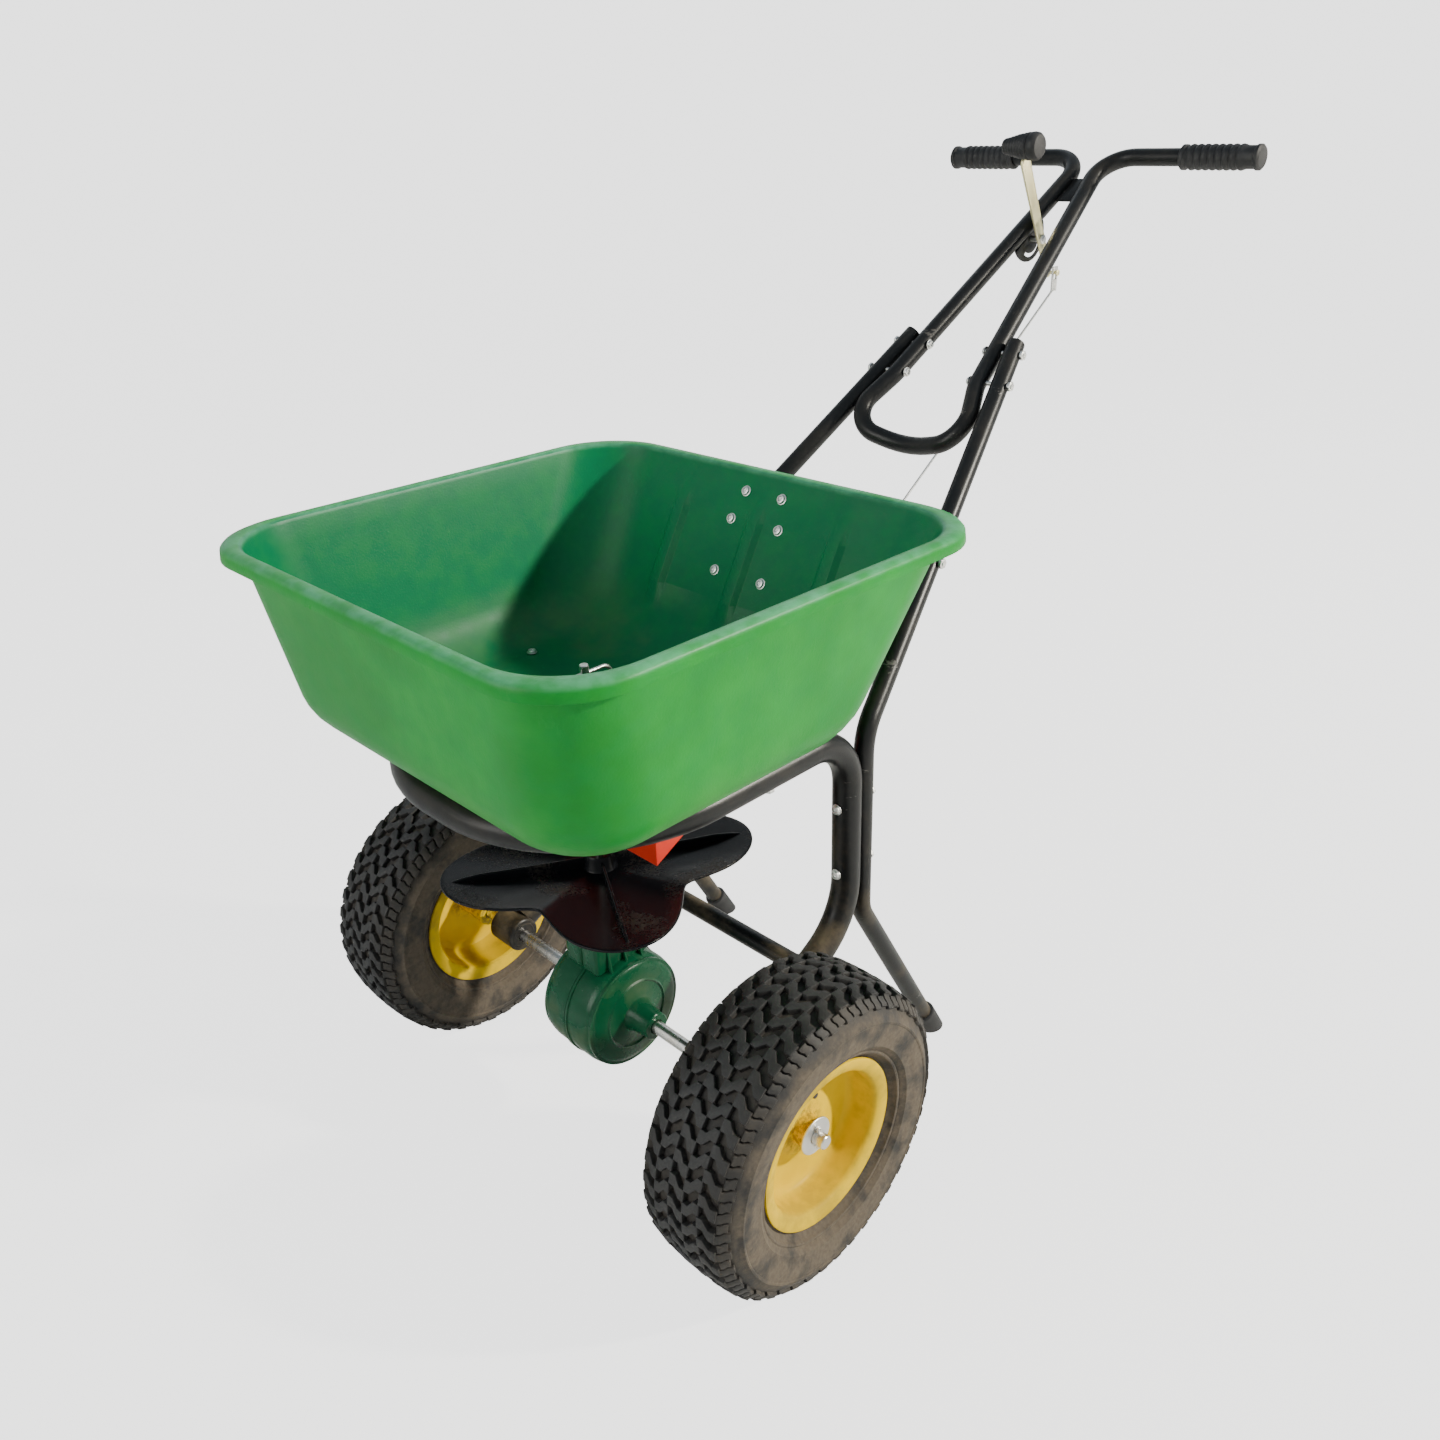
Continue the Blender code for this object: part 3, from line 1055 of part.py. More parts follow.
def make_impeller(looks, root):
    """Scalloped spreading disc, its shaft, cross pin and agitator, all turning together."""
    impeller_spin = empty("impeller_spin", (0, 0, 0), root)
    bm = bmesh.new()
    steps = 48
    inside = IMPELLER_HUB_RADIUS * 1.6
    skins = []
    for lift in (0.0, IMPELLER_SHEET):
        rings = []
        for share in (0.0, 0.5, 1.0):
            ring = []
            for step in range(steps):
                angle = 2 * math.pi * step / steps
                radius = inside + (impeller_edge(angle - IMPELLER_TURN) - inside) * share
                height = IMPELLER_HEIGHT + lift + IMPELLER_RISE * share ** 2
                ring.append(bm.verts.new((radius * math.cos(angle), radius * math.sin(angle), height)))
            rings.append(ring)
        skins.append(rings)
    for rings in skins:
        for low, high in zip(rings, rings[1:]):
            stitch(bm, low, high)
    stitch(bm, skins[0][-1], skins[1][-1])
    bm.faces.new(skins[0][0])
    bm.faces.new(skins[1][0])
    impeller = finish(bm, "impeller", looks["gloss_black"], impeller_spin)
    for lobe in range(IMPELLER_LOBES):
        turn = IMPELLER_TURN + 2 * math.pi * lobe / IMPELLER_LOBES
        out = Vector((math.cos(turn), math.sin(turn), 0))
        across = Vector((-out.y, out.x, 0)) * VANE_THICKNESS / 2
        base = IMPELLER_HEIGHT + IMPELLER_SHEET * 0.5
        reach = IMPELLER_RADIUS - 0.012
        outline = [
            out * 0.012 + Z_AXIS * base, out * reach + Z_AXIS * (base + IMPELLER_RISE * 0.8),
            out * reach + Z_AXIS * (base + IMPELLER_RISE + VANE_HEIGHT * 0.4),
            out * (reach * 0.5) + Z_AXIS * (base + VANE_HEIGHT), out * 0.012 + Z_AXIS * (base + VANE_HEIGHT * 1.1),
        ]
        vane = finish(prism(outline, -across, across), f"vane_{lobe}", None, impeller_spin, False)
        combine(impeller, vane, "UNION")
    hub_low = IMPELLER_HEIGHT - 0.010
    hub = cylinder(IMPELLER_HUB_RADIUS, (0, 0, hub_low), (0, 0, hub_low + IMPELLER_HUB_HEIGHT), 20)
    combine(impeller, finish(hub, "impeller_hub", None, impeller_spin), "UNION")
    drill(impeller, (0, 0, hub_low - 0.01), (0, 0, hub_low + IMPELLER_HUB_HEIGHT + 0.01), SHAFT_RADIUS + TOUCH)

    shaft_low = AXLE_HEIGHT + CROWN_PITCH_RADIUS - TOOTH_LENGTH / 2 - 0.006
    bar = cylinder(SHAFT_RADIUS, (0, 0, shaft_low), (0, 0, SHAFT_TOP))
    shaft = finish(bar, "impeller_shaft", looks["bright"], impeller_spin)
    wire = 0.002
    height = SHAFT_TOP - 0.010
    drill(shaft, (0, -0.02, height), (0, 0.02, height), wire + TOUCH)
    corners = [(0, -0.048, height - 0.030), (0, -0.030, height), (0, 0.030, height), (0, 0.048, height - 0.030)]
    agitator = bent_path(corners, [0.01, 0.01])
    finish(tube(agitator, wire, 0.0, 6), "agitator", looks["zinc"], impeller_spin)
    make_pinion(looks, impeller_spin)


def make_gearbox(looks, root):
    """Two moulded halves, split on the centre plane, with the shaft's bushes."""
    wall = CASE_WALL
    bore = AXLE_RADIUS + TURNING
    for side, word in ((1, "right"), (-1, "left")):
        outline = [
            (bore, DRUM_HALF_WIDTH - wall), (DRUM_RADIUS - wall, DRUM_HALF_WIDTH - wall),
            (DRUM_RADIUS - wall, TOUCH / 2), (DRUM_RADIUS, TOUCH / 2), (DRUM_RADIUS, DRUM_HALF_WIDTH - 0.012),
            (DRUM_RADIUS - 0.004, DRUM_HALF_WIDTH - 0.004), (DRUM_RADIUS - 0.014, DRUM_HALF_WIDTH),
            (BOSS_RADIUS + 0.004, DRUM_HALF_WIDTH + 0.002), (BOSS_RADIUS, DRUM_HALF_WIDTH + 0.012),
            (BOSS_RADIUS - 0.003, BOSS_REACH), (bore, BOSS_REACH),
        ]
        drum = turned(outline, X_AXIS * side, (0, 0, AXLE_HEIGHT))
        case = finish(drum, "gearbox_half_" + word, looks["dark_green"], root)
        corner = 0.010
        neck_low = AXLE_HEIGHT + 0.03
        plan = [
            (TOUCH / 2, -NECK_HALF_DEPTH, 0), (NECK_HALF_WIDTH - corner, -NECK_HALF_DEPTH, 0),
            (NECK_HALF_WIDTH, -NECK_HALF_DEPTH + corner, 0), (NECK_HALF_WIDTH, NECK_HALF_DEPTH - corner, 0),
            (NECK_HALF_WIDTH - corner, NECK_HALF_DEPTH, 0), (TOUCH / 2, NECK_HALF_DEPTH, 0),
        ]
        plan = [(side * x, y, z) for x, y, z in plan]
        neck = finish(prism(plan, (0, 0, neck_low), (0, 0, NECK_TOP)), "neck_" + word, None, root, False)
        near = (TOUCH * side / 4, 0, AXLE_HEIGHT)
        far = (side * (DRUM_HALF_WIDTH - wall), 0, AXLE_HEIGHT)
        hollow = cylinder(DRUM_RADIUS - wall, near, far, TURNED_STEPS)
        combine(neck, finish(hollow, "neck_hollow_" + word, None, root, False), "DIFFERENCE")
        combine(case, neck, "UNION")
        drill(case, (0, 0, AXLE_HEIGHT + CROWN_PITCH_RADIUS), (0, 0, NECK_TOP + 0.01), SHAFT_RADIUS + TURNING)
        for setback in (-0.024, 0.024):
            drill(case, (-0.04, setback, NECK_TOP - 0.014), (0.04, setback, NECK_TOP - 0.014), 0.002 + TOUCH)
    for setback, word in ((-0.024, "front"), (0.024, "rear")):
        height = NECK_TOP - 0.014
        edge = NECK_HALF_WIDTH + TOUCH
        outline = [
            (0, -0.003), (0.004, -0.003), (0.004, 0), (0.002, 0), (0.002, 2 * edge), (0.0035, 2 * edge),
            (0.0035, 2 * edge + 0.003), (0, 2 * edge + 0.003),
        ]
        finish(
            turned(outline, -X_AXIS, (edge, setback, height), 6), "gearbox_screw_" + word, looks["zinc"], root
        )
    inner = SHAFT_RADIUS + TURNING / 2
    outer = SHAFT_RADIUS + SHAFT_BUSH_WALL
    flange = FLOOR_HEIGHT + HOPPER_WALL + TOUCH
    outline = [
        (inner, GUIDE_HEIGHT), (outer, GUIDE_HEIGHT), (outer, flange), (outer + 0.004, flange),
        (outer + 0.004, flange + 0.002), (inner, flange + 0.002),
    ]
    finish(turned(outline, Z_AXIS, (0, 0, 0), SMALL_STEPS), "shaft_bush", looks["nylon"], root)


def main():
    clear_scene()
    looks = {
        "green": material("hopper_green", (0.045, 0.33, 0.09), 0.45),
        "dark_green": material("gearbox_green", (0.008, 0.085, 0.04), 0.3),
        "black": material("frame_black", (0.015, 0.016, 0.017), 0.35),
        "gloss_black": material("impeller_black", (0.01, 0.011, 0.013), 0.18),
        "grip": material("grip_black", (0.018, 0.018, 0.02), 0.6),
        "yellow": material("rim_yellow", (0.85, 0.56, 0.01), 0.3),
        "rubber": material("tyre_rubber", (0.03, 0.028, 0.026), 0.85),
        "bright": material("bright_steel", (0.62, 0.6, 0.56), 0.25, 1.0),
        "zinc": material("zinc_plate", (0.6, 0.6, 0.58), 0.35, 1.0),
        "yellow_zinc": material("yellow_zinc", (0.78, 0.72, 0.42), 0.35, 1.0),
        "red": material("chute_red", (0.75, 0.05, 0.03), 0.35),
        "nylon": material("nylon", (0.75, 0.74, 0.7), 0.5),
    }
    root = empty("spreader", (0, ORIGIN_SHIFT, 0))
    axle_spin = make_wheels(looks, root)
    frame = make_frame(looks, root)
    lower_handles = make_handle(looks, root, frame)
    hopper = make_hopper(looks, root)
    make_hopper_fixings(looks, root, hopper, frame, lower_handles)
    make_gate(looks, root)
    make_lever(looks, root)
    make_crown_gear(looks, axle_spin)
    make_impeller(looks, root)
    make_gearbox(looks, root)


main()
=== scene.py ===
import math

import bpy
from mathutils import Matrix, Vector


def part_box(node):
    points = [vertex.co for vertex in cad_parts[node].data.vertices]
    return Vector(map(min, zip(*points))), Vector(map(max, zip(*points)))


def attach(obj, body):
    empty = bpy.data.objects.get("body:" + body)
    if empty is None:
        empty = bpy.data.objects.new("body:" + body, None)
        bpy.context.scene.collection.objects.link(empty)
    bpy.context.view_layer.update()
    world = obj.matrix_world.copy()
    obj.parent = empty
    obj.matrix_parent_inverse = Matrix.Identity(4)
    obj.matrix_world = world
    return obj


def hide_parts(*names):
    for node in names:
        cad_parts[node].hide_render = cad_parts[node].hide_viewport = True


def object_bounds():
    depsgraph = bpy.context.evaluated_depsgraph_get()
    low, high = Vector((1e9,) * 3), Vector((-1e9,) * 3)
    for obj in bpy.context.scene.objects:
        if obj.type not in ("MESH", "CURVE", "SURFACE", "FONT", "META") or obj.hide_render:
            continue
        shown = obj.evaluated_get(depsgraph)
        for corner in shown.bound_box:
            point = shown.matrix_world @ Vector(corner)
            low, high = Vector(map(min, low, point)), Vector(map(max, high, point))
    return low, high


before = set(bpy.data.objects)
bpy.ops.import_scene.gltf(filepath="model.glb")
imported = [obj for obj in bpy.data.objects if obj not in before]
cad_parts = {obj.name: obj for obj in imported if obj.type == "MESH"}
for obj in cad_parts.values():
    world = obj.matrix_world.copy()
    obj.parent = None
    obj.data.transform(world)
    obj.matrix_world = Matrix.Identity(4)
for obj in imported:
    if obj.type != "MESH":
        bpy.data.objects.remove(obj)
cad_low, cad_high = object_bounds()

# --- The stand the machine is shown on ---------------------------------------------------
# A white studio bowl, one small bright lamp, two soft ones and a camera a little above the
# hopper, ahead of the machine and to its right. None of it is part of the spreader.

camera_place = Vector((0.9066, -1.0392, 1.0869))
camera_yaw = math.radians(45.677)
camera_pitch = math.radians(24.406)
camera_roll = math.radians(-1.86)
look = Vector((
    -math.sin(camera_yaw) * math.cos(camera_pitch),
    math.cos(camera_yaw) * math.cos(camera_pitch),
    -math.sin(camera_pitch),
))
level_right = Vector((math.cos(camera_yaw), math.sin(camera_yaw), 0))
level_up = level_right.cross(look)
camera_right = level_right * math.cos(camera_roll) + level_up * math.sin(camera_roll)
camera_up = level_up * math.cos(camera_roll) - level_right * math.sin(camera_roll)
camera = bpy.data.objects.new("camera", bpy.data.cameras.new("camera"))
bpy.context.scene.collection.objects.link(camera)
turn = Matrix((camera_right, camera_up, -look)).transposed()
camera.matrix_world = Matrix.Translation(camera_place) @ turn.to_4x4()
camera.data.lens = 30.47
camera.data.sensor_width = 36.0
camera.data.shift_x = -0.0008
camera.data.shift_y = -0.0346
bpy.context.scene.camera = camera

world = bpy.data.worlds.new("studio")
world.use_nodes = True
world.node_tree.nodes["Background"].inputs["Color"].default_value = (0.76, 0.89, 1.0, 1)
world.node_tree.nodes["Background"].inputs["Strength"].default_value = 0.48
bpy.context.scene.world = world
for lamp_name, lamp_place, lamp_size, lamp_power, lamp_colour in (
    ("key_lamp", (3.6, 2.3, 2.6), 0.22, 420, (1.0, 0.94, 0.82)),
    ("front_lamp", (-0.6, -3.6, 1.9), 2.0, 70, (1.0, 0.98, 0.93)),
    ("back_lamp", (-2.2, 2.4, 2.6), 2.2, 12, (0.90, 0.96, 1.0)),
):
    lamp = bpy.data.objects.new(lamp_name, bpy.data.lights.new(lamp_name, "AREA"))
    lamp.data.size = lamp_size
    lamp.data.energy = lamp_power
    lamp.data.color = lamp_colour
    lamp.location = lamp_place
    lamp.rotation_euler = (Vector((0, 0, 0.4)) - lamp.location).to_track_quat("-Z", "Y").to_euler()
    bpy.context.scene.collection.objects.link(lamp)


class Shade:
    """One socket of a finish; Python's operators on it add Math nodes."""

    def __init__(self, finish, socket):
        self.finish = finish
        self.socket = socket

    def math(self, operation, first, second):
        return self.finish.node("ShaderNodeMath", {"operation": operation}, {0: first, 1: second})

    def __add__(self, other):
        return self.math("ADD", self, other)

    def __mul__(self, other):
        return self.math("MULTIPLY", self, other)

    __radd__ = __add__
    __rmul__ = __mul__


class Finish:
    """A painted, moulded or plated finish made of shader nodes."""

    def __init__(self, name, roughness, metallic=0.0, gloss=0.5):
        self.material = bpy.data.materials.new(name)
        self.material.use_nodes = True
        self.shader = self.material.node_tree.nodes["Principled BSDF"]
        self.shader.inputs["Roughness"].default_value = roughness
        self.shader.inputs["Metallic"].default_value = metallic
        self.shader.inputs["Specular IOR Level"].default_value = gloss

    def node(self, kind, settings=None, inputs=None, output=0):
        made = self.material.node_tree.nodes.new(kind)
        for word, value in (settings or {}).items():
            setattr(made, word, value)
        for socket, value in (inputs or {}).items():
            if isinstance(value, Shade):
                self.material.node_tree.links.new(value.socket, made.inputs[socket])
            else:
                made.inputs[socket].default_value = value
        return Shade(self, made.outputs[output])

    def coordinates(self):
        return self.node("ShaderNodeTexCoord", output="Object")

    def facing(self):
        """The way that the surface faces."""
        return self.node("ShaderNodeNewGeometry", output="Normal")

    def part(self, axis, vector=None):
        """X, Y or Z of the place on the piece, or of another vector."""
        return self.node("ShaderNodeSeparateXYZ", None, {0: vector or self.coordinates()}, axis)

    def vector(self, operation, first, second=(0, 0, 0), output="Vector"):
        return self.node("ShaderNodeVectorMath", {"operation": operation}, {0: first, 1: second}, output)

    def noise(self, scale, detail=3.0, stretch=(1, 1, 1), roughness=0.55):
        spread = self.node("ShaderNodeMapping", None, {"Vector": self.coordinates(), "Scale": stretch})
        inputs = {"Vector": spread, "Scale": scale, "Detail": detail, "Roughness": roughness}
        return self.node("ShaderNodeTexNoise", None, inputs)

    def step(self, value, low, high, start=0.0, end=1.0):
        """A smooth step from start to end as value goes from low to high."""
        settings = {"interpolation_type": "SMOOTHSTEP"}
        inputs = {"Value": value, "From Min": low, "From Max": high, "To Min": start, "To Max": end}
        return self.node("ShaderNodeMapRange", settings, inputs)

    def blend(self, share, first, second):
        """A mix of two colours, all of the second where the share is 1."""
        inputs = {0: share}
        for socket, colour in ((6, first), (7, second)):
            inputs[socket] = colour if isinstance(colour, Shade) else (*colour, 1)
        return self.node("ShaderNodeMix", {"data_type": "RGBA"}, inputs, 2)

    def set(self, socket, value):
        self.material.node_tree.links.new(value.socket, self.shader.inputs[socket])

    def relief(self, height, distance, strength):
        inputs = {"Height": height, "Distance": distance, "Strength": strength}
        self.set("Normal", self.node("ShaderNodeBump", None, inputs))


paper = Finish("studio_paper", 0.9)
paper_grain = paper.noise(3.0, 4.0)
paper.set("Base Color", paper.blend(paper_grain, (0.80, 0.80, 0.79), (0.86, 0.86, 0.85)))
paper_glow = paper.node("ShaderNodeEmission", None, {"Color": (1, 1, 1, 1), "Strength": 3.2})
paper_seen = paper.node("ShaderNodeLightPath", output="Is Camera Ray") * 0.72
paper_matt = Shade(paper, paper.shader.outputs[0])
paper_mixed = paper.node("ShaderNodeMixShader", None, {0: paper_seen, 1: paper_matt, 2: paper_glow})
paper_output = paper.material.node_tree.nodes["Material Output"]
paper.material.node_tree.links.new(paper_mixed.socket, paper_output.inputs["Surface"])


def take(*pieces):
    """Selects these pieces alone, with the last one active."""
    bpy.ops.object.select_all(action="DESELECT")
    for piece in pieces:
        piece.select_set(True)
    bpy.context.view_layer.objects.active = pieces[-1]


def edit_all():
    """Edit mode, with the whole mesh selected."""
    bpy.ops.object.mode_set(mode="EDIT")
    bpy.ops.mesh.select_all(action="SELECT")


def leave_edit():
    bpy.ops.object.mode_set(mode="OBJECT")


def fix_place():
    """Puts the place, turn and scale of what is selected into its mesh."""
    bpy.ops.object.transform_apply(location=True, rotation=True, scale=True)


def settle(made, finish, angle=32.0):
    """Puts a piece's place into its mesh, smooths it and gives it its finish."""
    take(made)
    fix_place()
    bpy.ops.object.shade_smooth_by_angle(angle=math.radians(angle))
    made.data.materials.clear()
    made.data.materials.append(finish.material)
    made.data.name = made.name
    return made


def lathe(name, profile, finish, steps=64, place=(0, 0, 0), direction=(1, 0, 0)):
    """A turned piece: one point is extruded along (radius, distance) and spun about the axis."""
    bpy.ops.object.select_all(action="DESELECT")
    bpy.ops.mesh.primitive_plane_add(size=0.001)
    made = bpy.context.object
    made.name = name
    edit_all()
    bpy.ops.mesh.merge(type="CENTER")
    bpy.ops.transform.translate(value=(profile[0][1], 0, profile[0][0]))
    for (radius, distance), (next_radius, next_distance) in zip(profile, profile[1:]):
        step = (next_distance - distance, 0, next_radius - radius)
        bpy.ops.mesh.extrude_region_move(TRANSFORM_OT_translate={"value": step})
    bpy.ops.mesh.select_all(action="SELECT")
    bpy.ops.mesh.spin(steps=steps, angle=math.tau, center=(0, 0, 0), axis=(1, 0, 0))
    bpy.ops.mesh.select_all(action="SELECT")
    bpy.ops.mesh.remove_doubles(threshold=0.00001)
    bpy.ops.mesh.normals_make_consistent(inside=False)
    leave_edit()
    made.location = place
    made.rotation_mode = "QUATERNION"
    made.rotation_quaternion = Vector((1, 0, 0)).rotation_difference(Vector(direction))
    return settle(made, finish)


def hand_over(made, body, node):
    """The piece moves with a body and stands for a CAD node, which is hidden."""
    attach(made, body)
    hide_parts(node)


bowl = lathe(
    "studio_bowl", [(0, 0), (4.5, 0), (5.6, 0.15), (6.5, 0.6), (7.1, 1.4), (7.4, 2.6), (7.5, 5.0)],
    paper, 96, direction=(0, 0, 1),
)
edit_all()
bpy.ops.mesh.flip_normals()
leave_edit()
below_tyres = 0.0005
bowl.location = (0, 0, cad_low.z - below_tyres)
settle(bowl, paper, 60)

# --- Tyres -------------------------------------------------------------------------------
# Two small pneumatic tyres of black rubber with a turf tread. Each is moulded whole: staggered
# blocks over the crown, short lugs on the shoulders, plain sidewalls with raised rings.

tyre_low, tyre_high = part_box("tyre_right")
tyre_centre = (tyre_low + tyre_high) / 2
axle_y = tyre_centre.y
axle_z = tyre_centre.z
wheel_x = tyre_centre.x
tread_radius = (tyre_high.z - tyre_low.z) / 2
block_height = 0.0062
crown_radius = tread_radius - block_height


def out_from_axle(finish):
    """How far a point is from the axle's middle line."""
    away = finish.vector("SUBTRACT", finish.coordinates(), (0, axle_y, axle_z))
    return finish.vector("LENGTH", finish.vector("MULTIPLY", away, (0, 1, 1)), output="Value")


tyre_rubber = Finish("tyre_rubber", 0.86)
from_axle = out_from_axle(tyre_rubber)
tyre_dust = tyre_rubber.noise(26.0, 6.0, roughness=0.65)
tyre_speck = tyre_rubber.noise(240.0, 3.0)
on_sidewall = tyre_rubber.step(from_axle, 0.136, 0.150, 1.0, 0.0)
in_groove = tyre_rubber.step(from_axle, crown_radius - 0.001, crown_radius + 0.003, 1.0, 0.0)
on_block_top = tyre_rubber.step(from_axle, tread_radius - 0.0025, tread_radius - 0.0002)
dusty = tyre_rubber.step(tyre_dust, 0.30, 0.62) * (on_sidewall * 0.85 + in_groove * 0.25 + 0.06)
rubber_black = tyre_rubber.blend(on_block_top * 0.6, (0.0065, 0.0065, 0.007), (0.019, 0.020, 0.022))
sidewall_dust = tyre_rubber.blend(tyre_speck, (0.055, 0.043, 0.031), (0.130, 0.106, 0.078))
tyre_rubber.set("Base Color", tyre_rubber.blend(dusty, rubber_black, sidewall_dust))
tyre_rubber.set("Roughness", 0.62 + dusty * 0.3 + tyre_speck * 0.06)
tyre_rubber.relief(tyre_speck + tyre_dust * 0.8, 0.0006, 0.6)

bead = 0.0790
tyre_side = [
    (bead, 0.0330), (bead, 0.0390), (bead + 0.0040, 0.0422), (0.0945, 0.0440), (0.0965, 0.0470),
    (0.0990, 0.0495), (0.1002, 0.0527), (0.1018, 0.0533), (0.1034, 0.0529), (0.1046, 0.0545),
    (0.1080, 0.0566), (0.1094, 0.0580), (0.1110, 0.0583), (0.1124, 0.0580), (0.1200, 0.0600),
    (0.1280, 0.0606), (0.1340, 0.0604), (0.1352, 0.0612), (0.1368, 0.0612), (0.1382, 0.0596),
    (0.1440, 0.0566), (0.1500, 0.0520), (0.1548, 0.0450), (0.1574, 0.0340), (0.1586, 0.0180),
]
tyre_section = tyre_side + [(crown_radius, 0.0)]
tyre_section += [(radius, -distance) for radius, distance in reversed(tyre_side)]
tyre_section += [(bead + 0.004, -0.0290), (0.140, -0.0480), (0.150, 0.0)]
tyre_section += [(0.140, 0.0480), (bead + 0.004, 0.0290)]
tyre_section.append(tyre_section[0])
tyre_right = lathe("turf_tyre_right", tyre_section, tyre_rubber, 96, (wheel_x, axle_y, axle_z))


def pick(made, test, among=None):
    """Selects the points of a piece that pass a test, and what lies between them."""
    bpy.ops.object.mode_set(mode="EDIT")
    bpy.ops.mesh.select_mode(type="VERT")
    bpy.ops.mesh.select_all(action="DESELECT")
    leave_edit()
    for vertex in made.data.vertices:
        vertex.select = (among is None or vertex.index in among) and bool(test(vertex.co))
    bpy.ops.object.mode_set(mode="EDIT")


def block(size, middle=(0, 0, 0)):
    """A plain block, to be shaped further."""
    bpy.ops.object.select_all(action="DESELECT")
    bpy.ops.mesh.primitive_cube_add(size=1, location=middle, scale=size)
    made = bpy.context.object
    fix_place()
    return made


block_depth = block_height + 0.003
block_chamfer = 0.0011
tread_count = 42
tread_pitch = math.tau / tread_count


def tread_row(offset, radius, lean, width, length, shear, phase):
    """One ring of tread blocks: a bar cut in three, its ends slid apart, then repeated."""
    row = block((width, length, block_depth))
    bpy.ops.object.mode_set(mode="EDIT")
    for cut in (-0.16, 0.16):
        bpy.ops.mesh.select_all(action="SELECT")
        bpy.ops.mesh.bisect(plane_co=(cut * width, 0, 0), plane_no=(1, 0, 0))
    for sign in (-1, 1):
        pick(row, lambda co: co.x * sign > 0.1 * width)
        bpy.ops.transform.translate(value=(0, sign * shear, 0))
    bpy.ops.mesh.select_all(action="DESELECT")
    leave_edit()
    for edge in row.data.edges:
        ends = [row.data.vertices[index].co for index in edge.vertices]
        top = all(end.z > 0 for end in ends)
        on_cut = abs(ends[0].x - ends[1].x) < 0.0001 and abs(ends[0].x) < 0.2 * width
        edge.select = top and not on_cut
    bpy.context.tool_settings.mesh_select_mode = (False, True, False)
    bpy.ops.object.mode_set(mode="EDIT")
    bpy.ops.mesh.bevel(offset=block_chamfer, segments=2, affect="EDGES")
    bpy.context.tool_settings.mesh_select_mode = (True, False, False)
    leave_edit()
    block_turn = Matrix.Rotation(phase * tread_pitch, 4, "X")
    block_lean = Matrix.Rotation(lean, 4, "Y")
    block_top = Matrix.Translation((offset, 0, radius))
    row.matrix_world = block_turn @ block_top @ block_lean @ Matrix.Translation((0, 0, -block_depth / 2))
    fix_place()
    edit_all()
    bpy.ops.mesh.spin(
        steps=tread_count - 1, dupli=True, angle=tread_pitch * (tread_count - 1),
        center=(0, 0, 0), axis=(1, 0, 0),
    )
    leave_edit()
    row.location = (wheel_x, axle_y, axle_z)
    return settle(row, tyre_rubber, 25)


tread_rows = []
for number, (offset, radius, lean) in enumerate((
    (-0.0375, 0.1628, -0.16), (-0.0190, 0.1645, -0.06), (0.0, 0.1650, 0.0), (0.0190, 0.1645, 0.06),
    (0.0375, 0.1628, 0.16),
)):
    odd = number % 2
    tread_rows.append(tread_row(
        offset, radius, lean, width=0.0205, length=0.0125, shear=0.0042 if odd else -0.0042, phase=odd / 2,
    ))
for side in (-1, 1):
    for phase, lug_width in ((0.25, 0.0150), (0.75, 0.0105)):
        tread_rows.append(tread_row(
            side * 0.0520, 0.1548, side * 0.80, lug_width, length=0.0098, shear=side * 0.0012, phase=phase,
        ))


def join_into(made, *others):
    """The others become part of this piece."""
    take(*others, made)
    bpy.ops.object.join()


join_into(tyre_right, *tread_rows)


def own_copy(made, name):
    """A copy with its own mesh, that rides nothing yet."""
    twin = made.copy()
    twin.data = made.data.copy()
    twin.name = name
    twin.data.name = name
    twin.parent = None
    for key in list(twin.keys()):
        del twin[key]
    bpy.context.scene.collection.objects.link(twin)
    return twin


def other_side(made, name):
    """A copy turned half round the machine's upright middle line."""
    twin = own_copy(made, name)
    twin.matrix_world = Matrix.Translation((0, 2 * axle_y, 0)) @ Matrix.Rotation(math.pi, 4, "Z")
    take(twin)
    fix_place()
    return twin


tyre_left = other_side(tyre_right, "turf_tyre_left")
hand_over(tyre_right, "free_wheel", "tyre_right")
hand_over(tyre_left, "drive_axle", "tyre_left")

# --- Rims --------------------------------------------------------------------------------
# Pressed steel rims in yellow enamel, each with a welded web and a hub tube. The enamel is
# chipped at the hub and has dirt where the web meets the barrel.

rim_enamel = Finish("rim_enamel", 0.28, gloss=0.08)
rim_from_axle = out_from_axle(rim_enamel)
rim_cloud = rim_enamel.noise(20.0, 5.0, roughness=0.6)
rim_fleck = rim_enamel.noise(150.0, 4.0, roughness=0.7)
rim_tone = rim_enamel.blend(rim_enamel.step(rim_cloud, 0.3, 0.7), (0.66, 0.43, 0.0), (0.74, 0.50, 0.0))
rim_corner = rim_enamel.step(rim_from_axle, 0.066, 0.077) * rim_enamel.step(rim_cloud, 0.42, 0.66)
rim_near_hub = rim_enamel.step(rim_from_axle, 0.017, 0.034, 1.0, 0.0)
rim_hub_dirt = rim_near_hub * rim_enamel.step(rim_fleck, 0.40, 0.62)
rim_dirt = rim_corner * 0.45 + rim_hub_dirt * 0.65
rim_enamel.set("Base Color", rim_enamel.blend(rim_dirt, rim_tone, (0.11, 0.075, 0.035)))
rim_enamel.set("Roughness", 0.30 + rim_dirt * 0.5 + rim_fleck * 0.06)
rim_enamel.relief(rim_cloud + rim_fleck * 0.3, 0.0004, 0.35)

